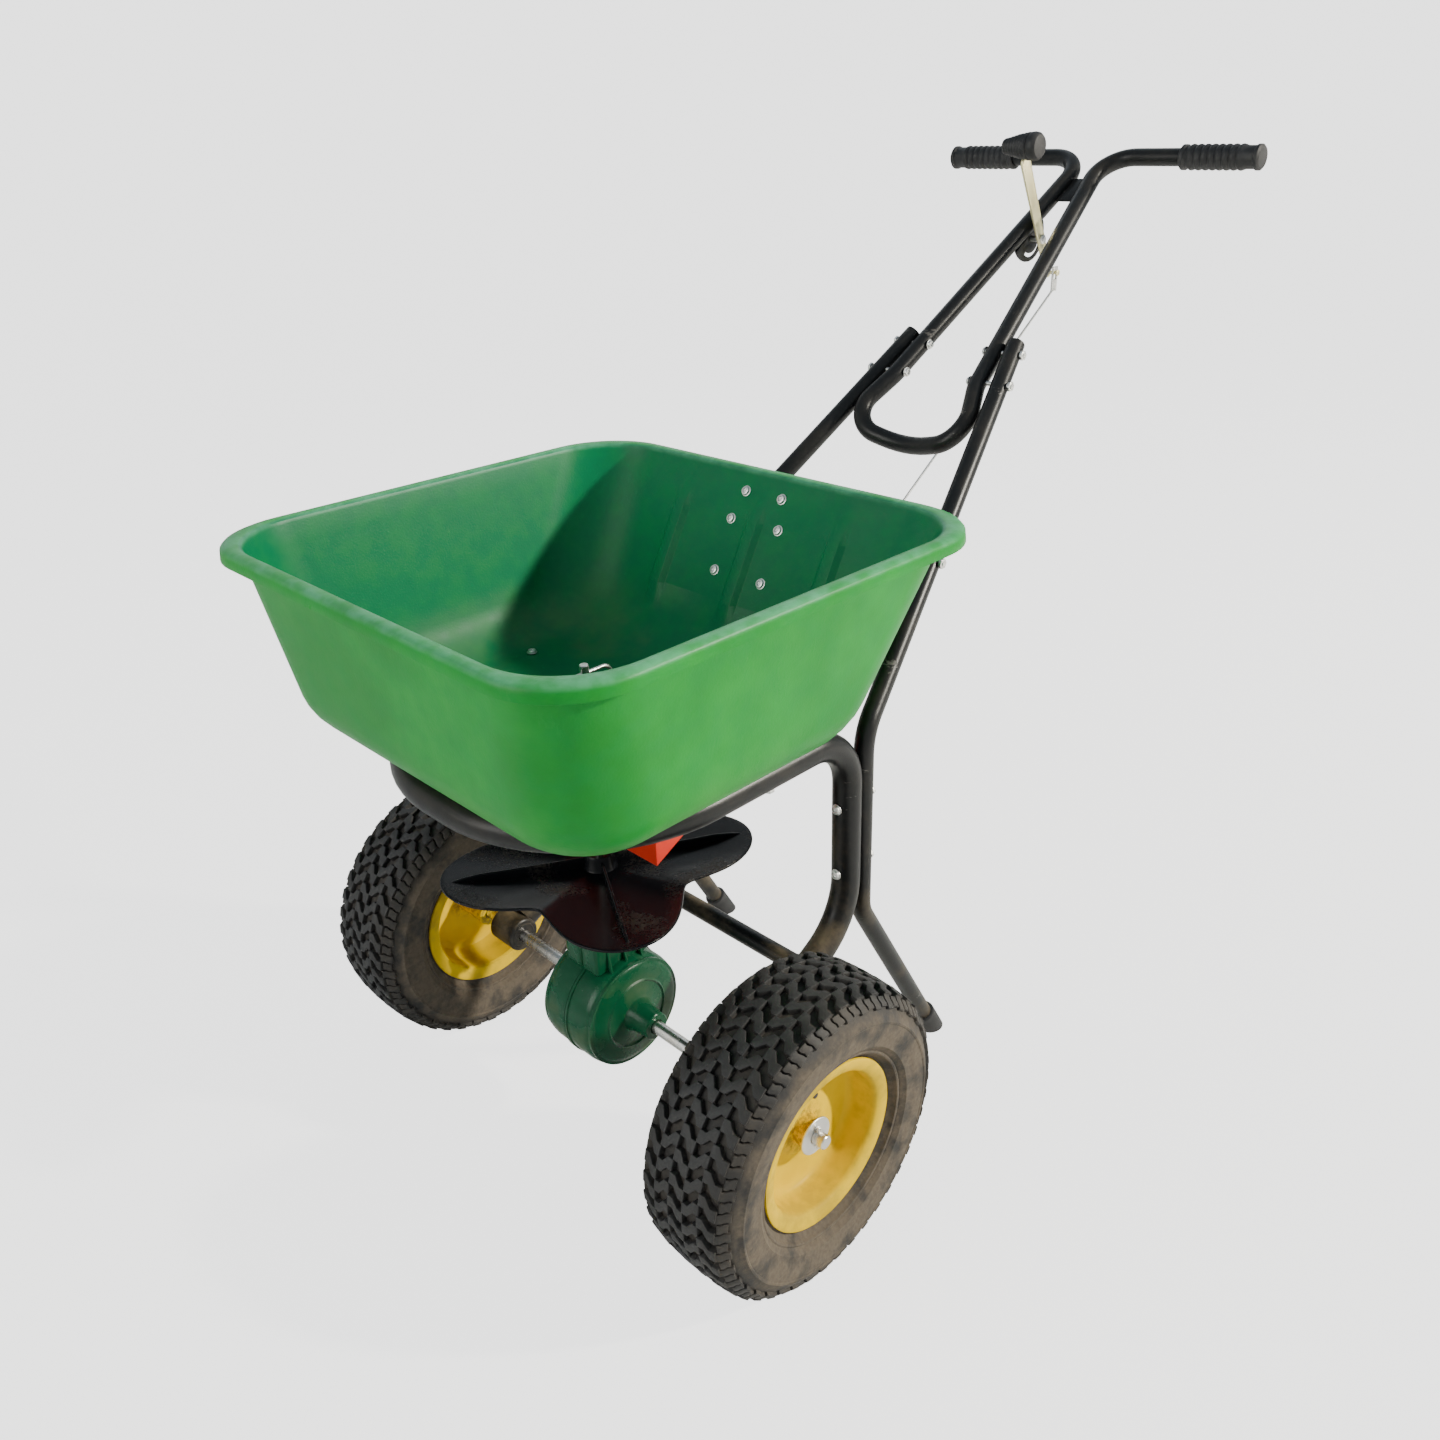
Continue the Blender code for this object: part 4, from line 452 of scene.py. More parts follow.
hub_bore = 0.0081
rim_profile = [
    (hub_bore, -0.0450), (0.0165, -0.0450), (0.0165, 0.0060), (0.0200, 0.0072), (0.0270, 0.0076),
    (0.0320, 0.0062), (0.0380, 0.0042), (0.0440, 0.0040), (0.0600, 0.0040), (0.0665, 0.0036),
    (0.0705, 0.0010), (0.0735, -0.0060), (0.0752, -0.0180), (0.0755, -0.0415), (0.0775, -0.0445),
    (0.0895, -0.0472), (0.0915, -0.0468), (0.0920, -0.0450), (0.0905, -0.0441), (0.0815, -0.0432),
    (0.0785, -0.0396), (0.0785, 0.0396), (0.0815, 0.0432), (0.0905, 0.0441), (0.0920, 0.0450),
    (0.0915, 0.0468), (0.0895, 0.0474), (0.0790, 0.0448), (0.0765, 0.0425), (0.0755, 0.0390),
    (0.0752, 0.0205), (0.0742, 0.0150), (0.0715, 0.0112), (0.0670, 0.0090), (0.0600, 0.0082),
    (0.0440, 0.0080), (0.0390, 0.0086), (0.0320, 0.0108), (0.0270, 0.0122), (0.0200, 0.0118),
    (0.0172, 0.0130), (0.0165, 0.0150), (0.0165, 0.0262), (0.0157, 0.0270), (0.0088, 0.0270),
    (hub_bore, 0.0262),
]
rim_profile.append(rim_profile[0])
rim_right = lathe("pressed_rim_right", rim_profile, rim_enamel, 96, (wheel_x, axle_y, axle_z))
rim_left = other_side(rim_right, "pressed_rim_left")
hand_over(rim_right, "free_wheel", "rim_right")
hand_over(rim_left, "drive_axle", "rim_left")

# --- Valves ------------------------------------------------------------------------------
# Short rubber snap-in valve stems with screwed dust caps, one through each web.

moulded_rubber = Finish("soft_rubber", 0.6)
rubber_grain = moulded_rubber.noise(420.0, 2.0)
moulded_rubber.set("Base Color", moulded_rubber.blend(
    rubber_grain, (0.016, 0.016, 0.017), (0.034, 0.034, 0.035)))
moulded_rubber.relief(rubber_grain, 0.0003, 0.5)


def base_of(node):
    """Middle of the left end of a CAD node that lies along x."""
    low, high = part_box(node)
    return Vector((low.x, (low.y + high.y) / 2, (low.z + high.z) / 2))


valve_profile = [
    (0, 0.0005), (0.0040, 0.0005), (0.0040, 0.0130), (0.0034, 0.0145), (0.0034, 0.0170),
    (0.0041, 0.0175), (0.0041, 0.0195), (0.0037, 0.0200), (0.0041, 0.0205), (0.0041, 0.0225),
    (0.0037, 0.0230), (0.0041, 0.0235), (0.0041, 0.0258), (0.0032, 0.0292), (0.0015, 0.0299), (0, 0.0299),
]
valve_place = base_of("valve_stem_right")
valve_right = lathe("valve_right", valve_profile, moulded_rubber, 20, valve_place)
valve_left = other_side(valve_right, "valve_left")
valve_left.location = (0, base_of("valve_stem_left").y - valve_place.y, 0)
settle(valve_left, moulded_rubber)
hand_over(valve_right, "free_wheel", "valve_stem_right")
hand_over(valve_left, "drive_axle", "valve_stem_left")

# --- Axle, washer and pins ---------------------------------------------------------------
# A bright drawn steel axle with turned ends. A zinc washer and a cotter pin hold the loose
# wheel, and a pin through the hub drives the other one.

bright_steel = Finish("bright_axle_steel", 0.25, 1.0)
axle_lines = bright_steel.noise(260.0, 3.0, (1, 0.03, 0.03))
axle_stain = bright_steel.noise(45.0, 5.0)
steel_stain = bright_steel.step(axle_stain, 0.52, 0.75)
bright_steel.set("Base Color", bright_steel.blend(
    steel_stain * 0.5, (0.70, 0.69, 0.66), (0.34, 0.26, 0.18)))
bright_steel.set("Roughness", 0.20 + axle_lines * 0.16 + steel_stain * 0.25)
bright_steel.relief(axle_lines, 0.00015, 0.4)

zinc_plate = Finish("zinc_plate_fasteners", 0.36, 1.0)
zinc_spangle = zinc_plate.node(
    "ShaderNodeTexVoronoi", None, {"Vector": zinc_plate.coordinates(), "Scale": 600.0})
zinc_cloud = zinc_plate.noise(90.0, 4.0)
zinc_plate.set("Base Color", zinc_plate.blend(zinc_cloud, (0.66, 0.66, 0.65), (0.82, 0.82, 0.80)))
zinc_plate.set("Roughness", 0.24 + zinc_spangle * 0.2 + zinc_cloud * 0.12)
zinc_plate.relief(zinc_spangle, 0.0001, 0.3)

axle_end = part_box("axle")[1].x
axle_radius = 0.0075
axle_bar = lathe("axle_bar", [
    (0, -axle_end), (axle_radius - 0.001, -axle_end), (axle_radius, -axle_end + 0.001), (axle_radius, -0.1),
    (axle_radius, 0.1), (axle_radius, axle_end - 0.001), (axle_radius - 0.001, axle_end), (0, axle_end),
], bright_steel, 40, (0, axle_y, axle_z))
hand_over(axle_bar, "drive_axle", "axle")
washer_low, washer_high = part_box("hub_washer")
washer_radius = (washer_high.z - washer_low.z) / 2
hub_washer = lathe("axle_washer", [
    (0.0079, 0), (washer_radius - 0.0006, 0), (washer_radius, 0.0005), (washer_radius, 0.0019),
    (washer_radius - 0.0006, 0.0024), (0.0083, 0.0024), (0.0079, 0.0020), (0.0079, 0),
], zinc_plate, 48, (washer_low.x, axle_y, axle_z))
hand_over(hub_washer, "drive_axle", "hub_washer")
pin_radius = 0.0019
for pin_node, pin_name in (("cotter_pin", "axle_cotter"), ("drive_pin", "hub_drive_pin")):
    pin_low, pin_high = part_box(pin_node)
    pin_length = pin_high.z - pin_low.z
    pin_profile = [(0, 0), (pin_radius * 0.7, 0), (pin_radius, 0.0006), (pin_radius, pin_length - 0.0006)]
    pin_profile += [(pin_radius * 0.7, pin_length), (0, pin_length)]
    pin_place = ((pin_low.x + pin_high.x) / 2, axle_y, pin_low.z)
    pin = lathe(pin_name, pin_profile, zinc_plate, 16, pin_place, (0, 0, 1))
    hand_over(pin, "drive_axle", pin_node)

# --- Frame, cross tube and handle tubes --------------------------------------------------
# Steel tube in satin black powder coat. One tube is bent into the loop under the hopper, two
# make the legs and lower handles, one the grip bar with its crook. Low down they are dusty.

frame_coat = Finish("frame_powder_coat", 0.36, gloss=0.26)
coat_cloud = frame_coat.noise(12.0, 6.0, roughness=0.65)
coat_grain = frame_coat.noise(700.0, 2.0)
coat_scratch = frame_coat.step(frame_coat.noise(34.0, 5.0, (0.35, 0.35, 1.0), 0.75), 0.645, 0.69)
coat_height = frame_coat.part(2)
coat_dust = frame_coat.step(coat_height, 0.10, 0.56, 0.75, 0.05) * frame_coat.step(coat_cloud, 0.44, 0.68)
coat_facing = frame_coat.part(2, frame_coat.facing())
coat_settled = coat_dust * frame_coat.step(coat_facing, -0.2, 0.8, 0.35, 1.0)
coat_black = frame_coat.blend(coat_cloud, (0.005, 0.0055, 0.006), (0.012, 0.0125, 0.0135))
coat_worn = frame_coat.blend(coat_scratch * 0.5, coat_black, (0.16, 0.15, 0.14))
frame_coat.set("Base Color", frame_coat.blend(coat_settled * 0.75, coat_worn, (0.23, 0.175, 0.10)))
frame_coat.set("Roughness", 0.30 + coat_settled * 0.45 + coat_cloud * 0.08)
frame_coat.relief(coat_grain + coat_scratch * -1.5, 0.00022, 0.5)


def apply_modifier(made, modifier):
    bpy.context.view_layer.objects.active = made
    bpy.ops.object.modifier_apply(modifier=modifier.name)


def give_wall(made, thickness, offset=-1):
    """A sheet becomes a wall, by default behind the faces."""
    wall = made.modifiers.new("wall", "SOLIDIFY")
    wall.thickness = thickness
    wall.offset = offset
    apply_modifier(made, wall)


def bend_tube(name, corners, bends, radius, wall, finish, sides=32):
    """A tube drawn as a pipe bender makes it: straight runs and turns about each bend's centre."""
    corners = [Vector(corner) for corner in corners]
    heading = (corners[1] - corners[0]).normalized()
    bpy.ops.object.select_all(action="DESELECT")
    bpy.ops.mesh.primitive_circle_add(
        vertices=sides, radius=radius, fill_type="NOTHING", location=corners[0],
        rotation=heading.to_track_quat("Z", "Y").to_euler(),
    )
    made = bpy.context.object
    made.name = name
    fix_place()
    edit_all()
    here = corners[0]
    for before, corner, after, bend in zip(corners, corners[1:], corners[2:], bends):
        arriving = (corner - before).normalized()
        leaving = (after - corner).normalized()
        turned = arriving.angle(leaving)
        reach = bend * math.tan(turned / 2)
        start = corner - arriving * reach
        centre = corner + (leaving - arriving).normalized() * bend / math.cos(turned / 2)
        bpy.ops.mesh.extrude_region_move(TRANSFORM_OT_translate={"value": start - here})
        steps = max(3, round(turned / math.radians(6)))
        hinge = arriving.cross(leaving).normalized()
        bpy.ops.mesh.spin(steps=steps, angle=-turned, center=centre, axis=hinge)
        here = corner + leaving * reach
    bpy.ops.mesh.extrude_region_move(TRANSFORM_OT_translate={"value": corners[-1] - here})
    bpy.ops.mesh.select_all(action="SELECT")
    bpy.ops.mesh.remove_doubles(threshold=0.00001)
    bpy.ops.mesh.normals_make_consistent(inside=False)
    leave_edit()
    give_wall(made, wall)
    return settle(made, finish, 40)


side_x = 0.189
frame_radius = 0.016
frame_wall = 0.002
bearing_radius = 0.0195
frame_height = 0.500
frame_front_y = axle_y - 0.180
frame_rear_y = axle_y + 0.192
low_corner = Vector((side_x, frame_rear_y, 0.266))
axle_point = Vector((side_x, axle_y, axle_z))
frame_half = [
    axle_point + (low_corner - axle_point).normalized() * bearing_radius, low_corner,
    Vector((side_x, frame_rear_y, frame_height)), Vector((side_x, frame_front_y, frame_height)),
]


def to_side(points, side):
    """Points of the right side, or with side -1 their mirror images on the left."""
    return [Vector((side * point.x, point.y, point.z)) for point in points]


frame_corners = to_side(frame_half, -1) + frame_half[::-1]
frame_bends = [0.090, 0.060, 0.172, 0.172, 0.060, 0.090]
frame_loop = bend_tube("frame_loop", frame_corners, frame_bends, frame_radius, frame_wall, frame_coat, 40)
hand_over(frame_loop, "stand", "hopper_frame")
cross_radius = 0.0105
thin_wall = 0.0018
cross_end = base_of("cross_tube")
cross_bar = bend_tube(
    "cross_bar", [cross_end, *to_side([cross_end], -1)], [], cross_radius, thin_wall, frame_coat)
hand_over(cross_bar, "stand", "cross_tube")

handle_radius = 0.0111
handle_foot_y = axle_y + 0.2194
high_bend_z = 0.487
handle_rise = 0.788
handle_converge = 0.2635
lower_end_y = axle_y + 0.644


def on_lower_handle(y):
    """Centre of the right lower handle tube where it slopes up to the grips."""
    run = y - handle_foot_y
    return Vector((side_x - handle_converge * run, y, high_bend_z + handle_rise * run))


leg_tip = Vector((side_x, handle_foot_y + 0.146, 0.00955))
leg_bend = Vector((side_x, handle_foot_y, 0.262))
high_bend = Vector((side_x, handle_foot_y, high_bend_z))
leg_bends = [0.050, 0.050]
for side, word in ((1, "right"), (-1, "left")):
    corners = to_side([leg_tip, leg_bend, high_bend, on_lower_handle(lower_end_y)], side)
    lower = bend_tube(
        f"leg_and_handle_{word}", corners, leg_bends, handle_radius, thin_wall, frame_coat)
    hand_over(lower, "stand", f"lower_handle_{word}")

grip_low, grip_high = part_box("grip_right")
grip_base = base_of("grip_right")
arm_top = Vector((0.013, grip_base.y, grip_base.z))
arm_apart = (2 * handle_radius + 0.0003) / math.cos(math.atan(handle_converge))
arm_beside = on_lower_handle(lower_end_y)
arm_drop = 0.0025
arm_low = Vector((arm_beside.x - arm_apart, lower_end_y, arm_beside.z - arm_drop))


def on_arm(y):
    """Centre of the right arm of the upper handle."""
    return arm_low + (arm_top - arm_low) * (y - arm_low.y) / (arm_top.y - arm_low.y)


crook_side = Vector((0.092, axle_y + 0.520, 0.726))
crook_bottom = Vector((0, axle_y + 0.534, 0.702))
arm_bend = on_arm(axle_y + 0.585)
bar_end = Vector((grip_high.x - 0.0043, grip_base.y, grip_base.z))
upper_half = [crook_side, arm_bend, arm_top, bar_end]
upper_corners = to_side(reversed(upper_half), -1) + [crook_bottom] + upper_half
upper_bends = [0.042, 0.060, 0.036, 0.120, 0.036, 0.060, 0.042]
grip_bar = bend_tube(
    "grip_bar_and_crook", upper_corners, upper_bends, handle_radius, thin_wall, frame_coat)
hand_over(grip_bar, "stand", "upper_handle")

# --- Axle bearings -----------------------------------------------------------------------
# Short steel tubes welded to the frame's ends, each turned as one piece in the frame's coat; the
# # nylon bush pressed in each is not modelled.

for side, word in ((1, "right"), (-1, "left")):
    bearing_low, bearing_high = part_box(f"axle_bearing_{word}")
    bearing_length = bearing_high.x - bearing_low.x
    bearing = lathe(f"axle_bush_tube_{word}", [
        (hub_bore, 0), (0.0150, 0), (0.0160, 0.0012), (bearing_radius, 0.0012), (0.0210, 0.0024),
        (0.0210, bearing_length - 0.0024), (bearing_radius, bearing_length - 0.0012),
        (0.0160, bearing_length - 0.0012), (0.0150, bearing_length), (hub_bore, bearing_length),
        (hub_bore, 0),
    ], frame_coat, 48, (bearing_low.x, axle_y, axle_z))
    hand_over(bearing, "stand", f"axle_bearing_{word}")

# --- Grips and leg caps ------------------------------------------------------------------
# Dipped vinyl grips with finger ridges, pushed over the bar's ends, and moulded caps that the
# legs stand on.

vinyl = Finish("grip_vinyl", 0.55)
vinyl_grain = vinyl.noise(520.0, 3.0)
vinyl_wear = vinyl.noise(30.0, 4.0)
vinyl.set("Base Color", vinyl.blend(
    vinyl.step(vinyl_wear, 0.4, 0.7), (0.008, 0.008, 0.009), (0.022, 0.022, 0.024)))
vinyl.set("Roughness", 0.44 + vinyl_wear * 0.25)
vinyl.relief(vinyl_grain, 0.0003, 0.5)
grip_length = grip_high.x - grip_low.x
grip_radius = 0.0160
vinyl_bore = handle_radius + 0.0002
grip_skin = grip_radius - 0.0004
grip_valley = grip_radius - 0.0020
grip_profile = [(vinyl_bore, 0), (grip_radius - 0.0018, 0), (grip_skin, 0.0012)]
grip_profile += [(grip_skin, 0.0055), (grip_radius - 0.0022, 0.0075)]
ridge_pitch = 0.0092
ridge_count = 8
for ridge in range(ridge_count):
    foot = 0.010 + ridge * ridge_pitch
    grip_profile += [(grip_valley, foot), (grip_skin, foot + 0.0022)]
    grip_profile += [(grip_radius, foot + 0.0042), (grip_radius - 0.0006, foot + 0.0062)]
grip_profile += [(grip_valley, 0.0850), (grip_valley, 0.0960), (grip_skin, 0.0975)]
grip_profile += [(grip_skin, grip_length - 0.0025), (grip_radius - 0.0030, grip_length - 0.0003)]
grip_profile += [(0.004, grip_length), (0, grip_length)]
up_leg = (leg_bend - leg_tip).normalized()
for side, word in ((1, "right"), (-1, "left")):
    place = (side * grip_base.x, grip_base.y, grip_base.z)
    grip = lathe(f"vinyl_grip_{word}", grip_profile, vinyl, 40, place, (side, 0, 0))
    hand_over(grip, "stand", f"grip_{word}")
    cap_start = to_side([leg_tip], side)[0] - up_leg * 0.02
    cap = lathe(f"leg_cap_{word}", [
        (0, 0), (0.0151, 0), (0.0151, 0.0470), (0.0146, 0.0485), (0.0135, 0.0492), (vinyl_bore, 0.0497),
        (vinyl_bore, 0.0300), (0, 0.0300),
    ], vinyl, 40, cap_start, up_leg)
    edit_all()
    bpy.ops.mesh.bisect(plane_co=(0, 0, 0.0002), plane_no=(0, 0, 1), clear_inner=True, use_fill=True)
    leave_edit()
    settle(cap, vinyl)
    hand_over(cap, "stand", f"leg_foot_{word}")

# --- Hopper ------------------------------------------------------------------------------
# One moulded polyethylene tub. The top of the rolled lip that stiffens the mouth is painted a
# paler mint, partly chalky fade and partly painted highlight, and the faces inside the tub are
# painted a darker teal as painted shade. The rear wall has three upright grooves, the floor the
# feed port over the gate.

hopper_low, hopper_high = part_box("hopper")
hopper_green = Finish("hopper_polyethylene", 0.42, gloss=0.16)
green_cloud = hopper_green.noise(5.0, 5.0, roughness=0.6)
green_mottle = hopper_green.noise(38.0, 4.0)
green_peel = hopper_green.noise(420.0, 2.0)
hopper_height = hopper_green.part(2)
green_scuff = hopper_green.step(hopper_green.noise(24.0, 8.0, (1.0, 1.0, 0.35), 0.8), 0.60, 0.70)
# The top 7 mm of the tub, the rolled lip's top, is painted paler mint: partly chalky fade, partly painted
# highlight.
lip_top_band = hopper_green.step(hopper_height, hopper_high.z - 0.007, hopper_high.z - 0.0005)
lip_chalk_and_highlight = lip_top_band * hopper_green.step(green_mottle, 0.30, 0.75, 0.25, 0.9)
green_base = hopper_green.blend(
    hopper_green.step(green_cloud, 0.35, 0.65), (0.0035, 0.190, 0.018), (0.008, 0.270, 0.030))
# Faces that look in towards the tub's middle are painted a darker teal: painted shade, the plastic itself
# being one colour.
from_middle = hopper_green.vector("SUBTRACT", hopper_green.coordinates(), (hopper_low + hopper_high) / 2)
facing_out = hopper_green.vector("DOT_PRODUCT", from_middle, hopper_green.facing(), "Value")
inside = hopper_green.step(facing_out, -0.06, 0.02, 0.85, 0.0)
green_with_painted_inner_shade = hopper_green.blend(inside, green_base, (0.001, 0.125, 0.058))
green_mixed = hopper_green.blend(
    hopper_green.step(green_mottle, 0.35, 0.7) * 0.3, green_with_painted_inner_shade, (0.003, 0.200, 0.040))
green_marked = hopper_green.blend(green_scuff * 0.14, green_mixed, (0.06, 0.36, 0.08))
green_low = hopper_green.step(hopper_height, hopper_low.z, hopper_low.z + 0.085, 0.55, 0.0)
green_dusty = green_low * hopper_green.step(green_cloud, 0.42, 0.62)
# Here the lip's painted highlight and chalky fade are mixed into the green.
green_aged_with_lip_highlight = hopper_green.blend(lip_chalk_and_highlight * 0.55, green_marked, (0.170, 0.520, 0.330))
hopper_green.set("Base Color", hopper_green.blend(green_dusty * 0.35, green_aged_with_lip_highlight, (0.20, 0.19, 0.10)))
hopper_green.set("Roughness", 0.34 + green_scuff * 0.22 + green_mottle * 0.12 + green_dusty * 0.3)
hopper_green.relief(green_peel * 0.5 + green_mottle * 0.7 + green_scuff * 0.4, 0.0007, 0.35)

tub_wall = 0.0035
lip_reach = 0.013 + tub_wall
corner_radius = 0.083
bottom_round = 0.050
wall_top = Vector((hopper_high.x - lip_reach, hopper_low.y + lip_reach, hopper_high.y - lip_reach))
floor_half = 0.242 - tub_wall
floor_front = axle_y - 0.210 + tub_wall
floor_rear = axle_y + 0.174 - tub_wall
floor_z = hopper_low.z + tub_wall
middle_y = (floor_front + floor_rear) / 2
bpy.ops.object.select_all(action="DESELECT")
bpy.ops.mesh.primitive_plane_add(size=1, location=(0, middle_y, floor_z))
hopper = bpy.context.object
hopper.name = "moulded_hopper"
hopper.scale = (2 * floor_half, floor_rear - floor_front, 1)
fix_place()
edit_all()
bpy.ops.mesh.bevel(offset=corner_radius, offset_type="OFFSET", segments=12, affect="VERTICES")
leave_edit()


def raise_ring(level, height, out_side, out_front, out_rear):
    """Extrudes the edge at a level to a height and moves its four sides out, corners unchanged."""
    pick(hopper, lambda co: abs(co.z - level) < 0.00001)
    bpy.ops.mesh.extrude_edges_move(TRANSFORM_OT_translate={"value": (0, 0, height - level)})
    leave_edit()
    ring = {vertex.index for vertex in hopper.data.vertices if vertex.select}
    for test, slide in (
        (lambda co: co.x > 0, (out_side, 0, 0)), (lambda co: co.x < 0, (-out_side, 0, 0)),
        (lambda co: co.y > middle_y, (0, out_rear, 0)), (lambda co: co.y < middle_y, (0, -out_front, 0)),
    ):
        pick(hopper, test, ring)
        bpy.ops.transform.translate(value=slide)
        leave_edit()
    return height


level = floor_z
mouth_z = hopper_high.z
wall_side = wall_top.x - floor_half
wall_front = floor_front - wall_top.y
wall_rear = wall_top.z - floor_rear
wall_steps = (floor_z + 0.070, mouth_z - 0.051, mouth_z - 0.028, mouth_z - 0.006)
done = 0.0
for height in wall_steps:
    share = (height - floor_z) / (mouth_z - floor_z)
    part = share - done
    level = raise_ring(level, height, wall_side * part, wall_front * part, wall_rear * part)
    done = share
lip_steps = (
    (0.0022, 0.0006), (0.0004, 0.0022), (0, 0.0034), (0.0003, 0.0032),
    (0.0018, 0.0026), (0.0045, 0.0014), (0.0150, 0.0004),
)
for below_mouth, reach in lip_steps:
    out = reach + tub_wall / len(lip_steps)
    level = raise_ring(level, mouth_z - below_mouth, out, out, out)
pick(hopper, lambda co: abs(co.z - floor_z) < 0.00001)
bpy.ops.mesh.select_mode(type="EDGE")
bpy.ops.mesh.bevel(offset=bottom_round, segments=7, affect="EDGES")
bpy.ops.mesh.select_mode(type="VERT")
leave_edit()
groove_places = (-0.118, 0, 0.118)
groove_depth = 0.006
for groove in groove_places:
    for edge in (-0.013, -0.007, 0.007, 0.013):
        edit_all()
        bpy.ops.mesh.bisect(plane_co=(groove + edge, 0, 0), plane_no=(1, 0, 0))
        leave_edit()
pick(hopper, lambda co: (
    co.y > middle_y + 0.1 and wall_steps[0] - 0.001 < co.z < wall_steps[1] + 0.001
    and min(abs(co.x - groove) for groove in groove_places) < 0.0075
))
bpy.ops.transform.translate(value=(0, -groove_depth, 0))
bpy.ops.mesh.select_all(action="SELECT")
bpy.ops.mesh.normals_make_consistent(inside=False)
leave_edit()


def carve(made, low, high, sides=0):
    """Cuts a block, or a round hole with that many sides, out of a piece."""
    centre = (Vector(low) + Vector(high)) / 2
    size = Vector(high) - Vector(low)
    if sides:
        bpy.ops.object.select_all(action="DESELECT")
        bpy.ops.mesh.primitive_cylinder_add(
            vertices=sides, radius=size.x / 2, depth=size.z, location=centre)
        tool = bpy.context.object
    else:
        tool = block(size, centre)
    cutter = made.modifiers.new("cut", "BOOLEAN")
    cutter.operation = "DIFFERENCE"
    cutter.object = tool
    bpy.ops.object.select_all(action="DESELECT")
    apply_modifier(made, cutter)
    bpy.data.objects.remove(tool)


def round_edges(made, width, segments, angle=30.0):
    """Rounds the edges where faces meet at more than an angle."""
    rounded = made.modifiers.new("rounded_edge", "BEVEL")
    rounded.width = width
    rounded.segments = segments
    rounded.angle_limit = math.radians(angle)
    apply_modifier(made, rounded)


give_wall(hopper, tub_wall)
through_floor = Vector((0, 0, 0.02))
port_half = Vector((0.050, 0.017, 0))
port_middle = Vector((0, axle_y + 0.043, floor_z))
carve(hopper, port_middle - port_half - through_floor, port_middle + port_half + through_floor)
bush_half = Vector((0.0093, 0.0093, 0))
bush_middle = Vector((0, axle_y, floor_z))
carve(hopper, bush_middle - bush_half - through_floor, bush_middle + bush_half + through_floor, 32)
round_edges(hopper, 0.0009, 2, 38)
settle(hopper, hopper_green, 38)
hand_over(hopper, "stand", "hopper")

# --- Sheet metal under and behind the hopper ---------------------------------------------
# Brace, gusset, gate guide, gate, lever bracket and lever are cut from flat steel. The brace,
# gusset, guide and bracket are powder coated, the gate is zinc plated, the lever yellow zinc.

yellow_zinc = Finish("yellow_passivated_zinc", 0.36, 0.75)
passivate_cloud = yellow_zinc.noise(55.0, 4.0)
passivate_line = yellow_zinc.noise(320.0, 3.0, (0.08, 1, 1))
yellow_zinc.set("Base Color", yellow_zinc.blend(passivate_cloud, (0.70, 0.62, 0.30), (0.86, 0.82, 0.58)))
yellow_zinc.set("Roughness", 0.28 + passivate_line * 0.22)
yellow_zinc.relief(passivate_line, 0.00012, 0.4)


def refine(node, name, finish, edge, segments=2, angle=32):
    """A copy of a plain CAD piece, its facets merged and its edges broken."""
    made = own_copy(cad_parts[node], name)
    take(made)
    edit_all()
    bpy.ops.mesh.remove_doubles(threshold=0.00001)
    bpy.ops.mesh.dissolve_limited(angle_limit=math.radians(0.5))
    leave_edit()
    if edge:
        round_edges(made, edge, segments, angle)
    return settle(made, finish, angle)


for node, name, finish, edge, body, slot in (
    ("hopper_brace", "rear_brace", frame_coat, 0.0005, "stand", "frame_black"),
    ("handle_gusset", "arm_gusset", frame_coat, 0.0004, "stand", "frame_black"),
    ("gate_guide", "gate_runner", frame_coat, 0.0004, "stand", "frame_black"),
    ("lever_bracket", "lever_quadrant", frame_coat, 0.0004, "stand", "frame_black"),
    ("slide_gate", "gate_plate", zinc_plate, 0.0003, "gate", "zinc_plate"),
    ("control_lever", "flow_lever_blade", yellow_zinc, 0.0005, "flow_lever", "yellow_zinc"),
    ("control_rod", "gate_rod", zinc_plate, 0.0, "gate", "zinc_plate"),
):
    hand_over(refine(node, name, finish, edge), body, node)

# --- Lever knob --------------------------------------------------------------------------
# A moulded black knob, pushed on the lever's end across it, with grip ribs round its waist.

knob_low, knob_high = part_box("lever_knob")
knob_length = knob_high.x - knob_low.x
knob_profile = [(0, 0), (0.0055, 0.0003), (0.0088, 0.0018), (0.0100, 0.0042)]
for ridge in range(7):
    foot = 0.0070 + ridge * 0.0047
    swell = 0.0104 + 0.0008 * ridge + 0.0004 * min(ridge, 3)
    knob_profile += [(swell - 0.0011, foot)]
    knob_profile += [(swell + 0.0004, foot + up) for up in (0.0013, 0.0029)]
knob_profile += [(0.0150, 0.0402), (0.0170, 0.0420), (0.0174, 0.0455), (0.0165, 0.0500), (0.0138, 0.0530)]
knob_profile += [(0.0070, knob_length - 0.0002), (0, knob_length)]
knob = lathe("lever_grip_knob", knob_profile, vinyl, 48, base_of("lever_knob"))
hand_over(knob, "flow_lever", "lever_knob")

# --- Drop chute --------------------------------------------------------------------------
# A red moulded chute, open below, that guides what falls from the gate to the disc.

chute_red = Finish("chute_red_plastic", 0.34, gloss=0.35)
chute_cloud = chute_red.noise(40.0, 4.0)
chute_red.set("Base Color", chute_red.blend(chute_cloud, (0.55, 0.020, 0.012), (0.78, 0.055, 0.030)))
chute_red.set("Roughness", 0.28 + chute_cloud * 0.2)
chute_red.relief(chute_red.noise(380.0, 2.0), 0.0003, 0.3)
hand_over(refine("drop_chute", "red_chute", chute_red, 0.0008, 3), "stand", "drop_chute")
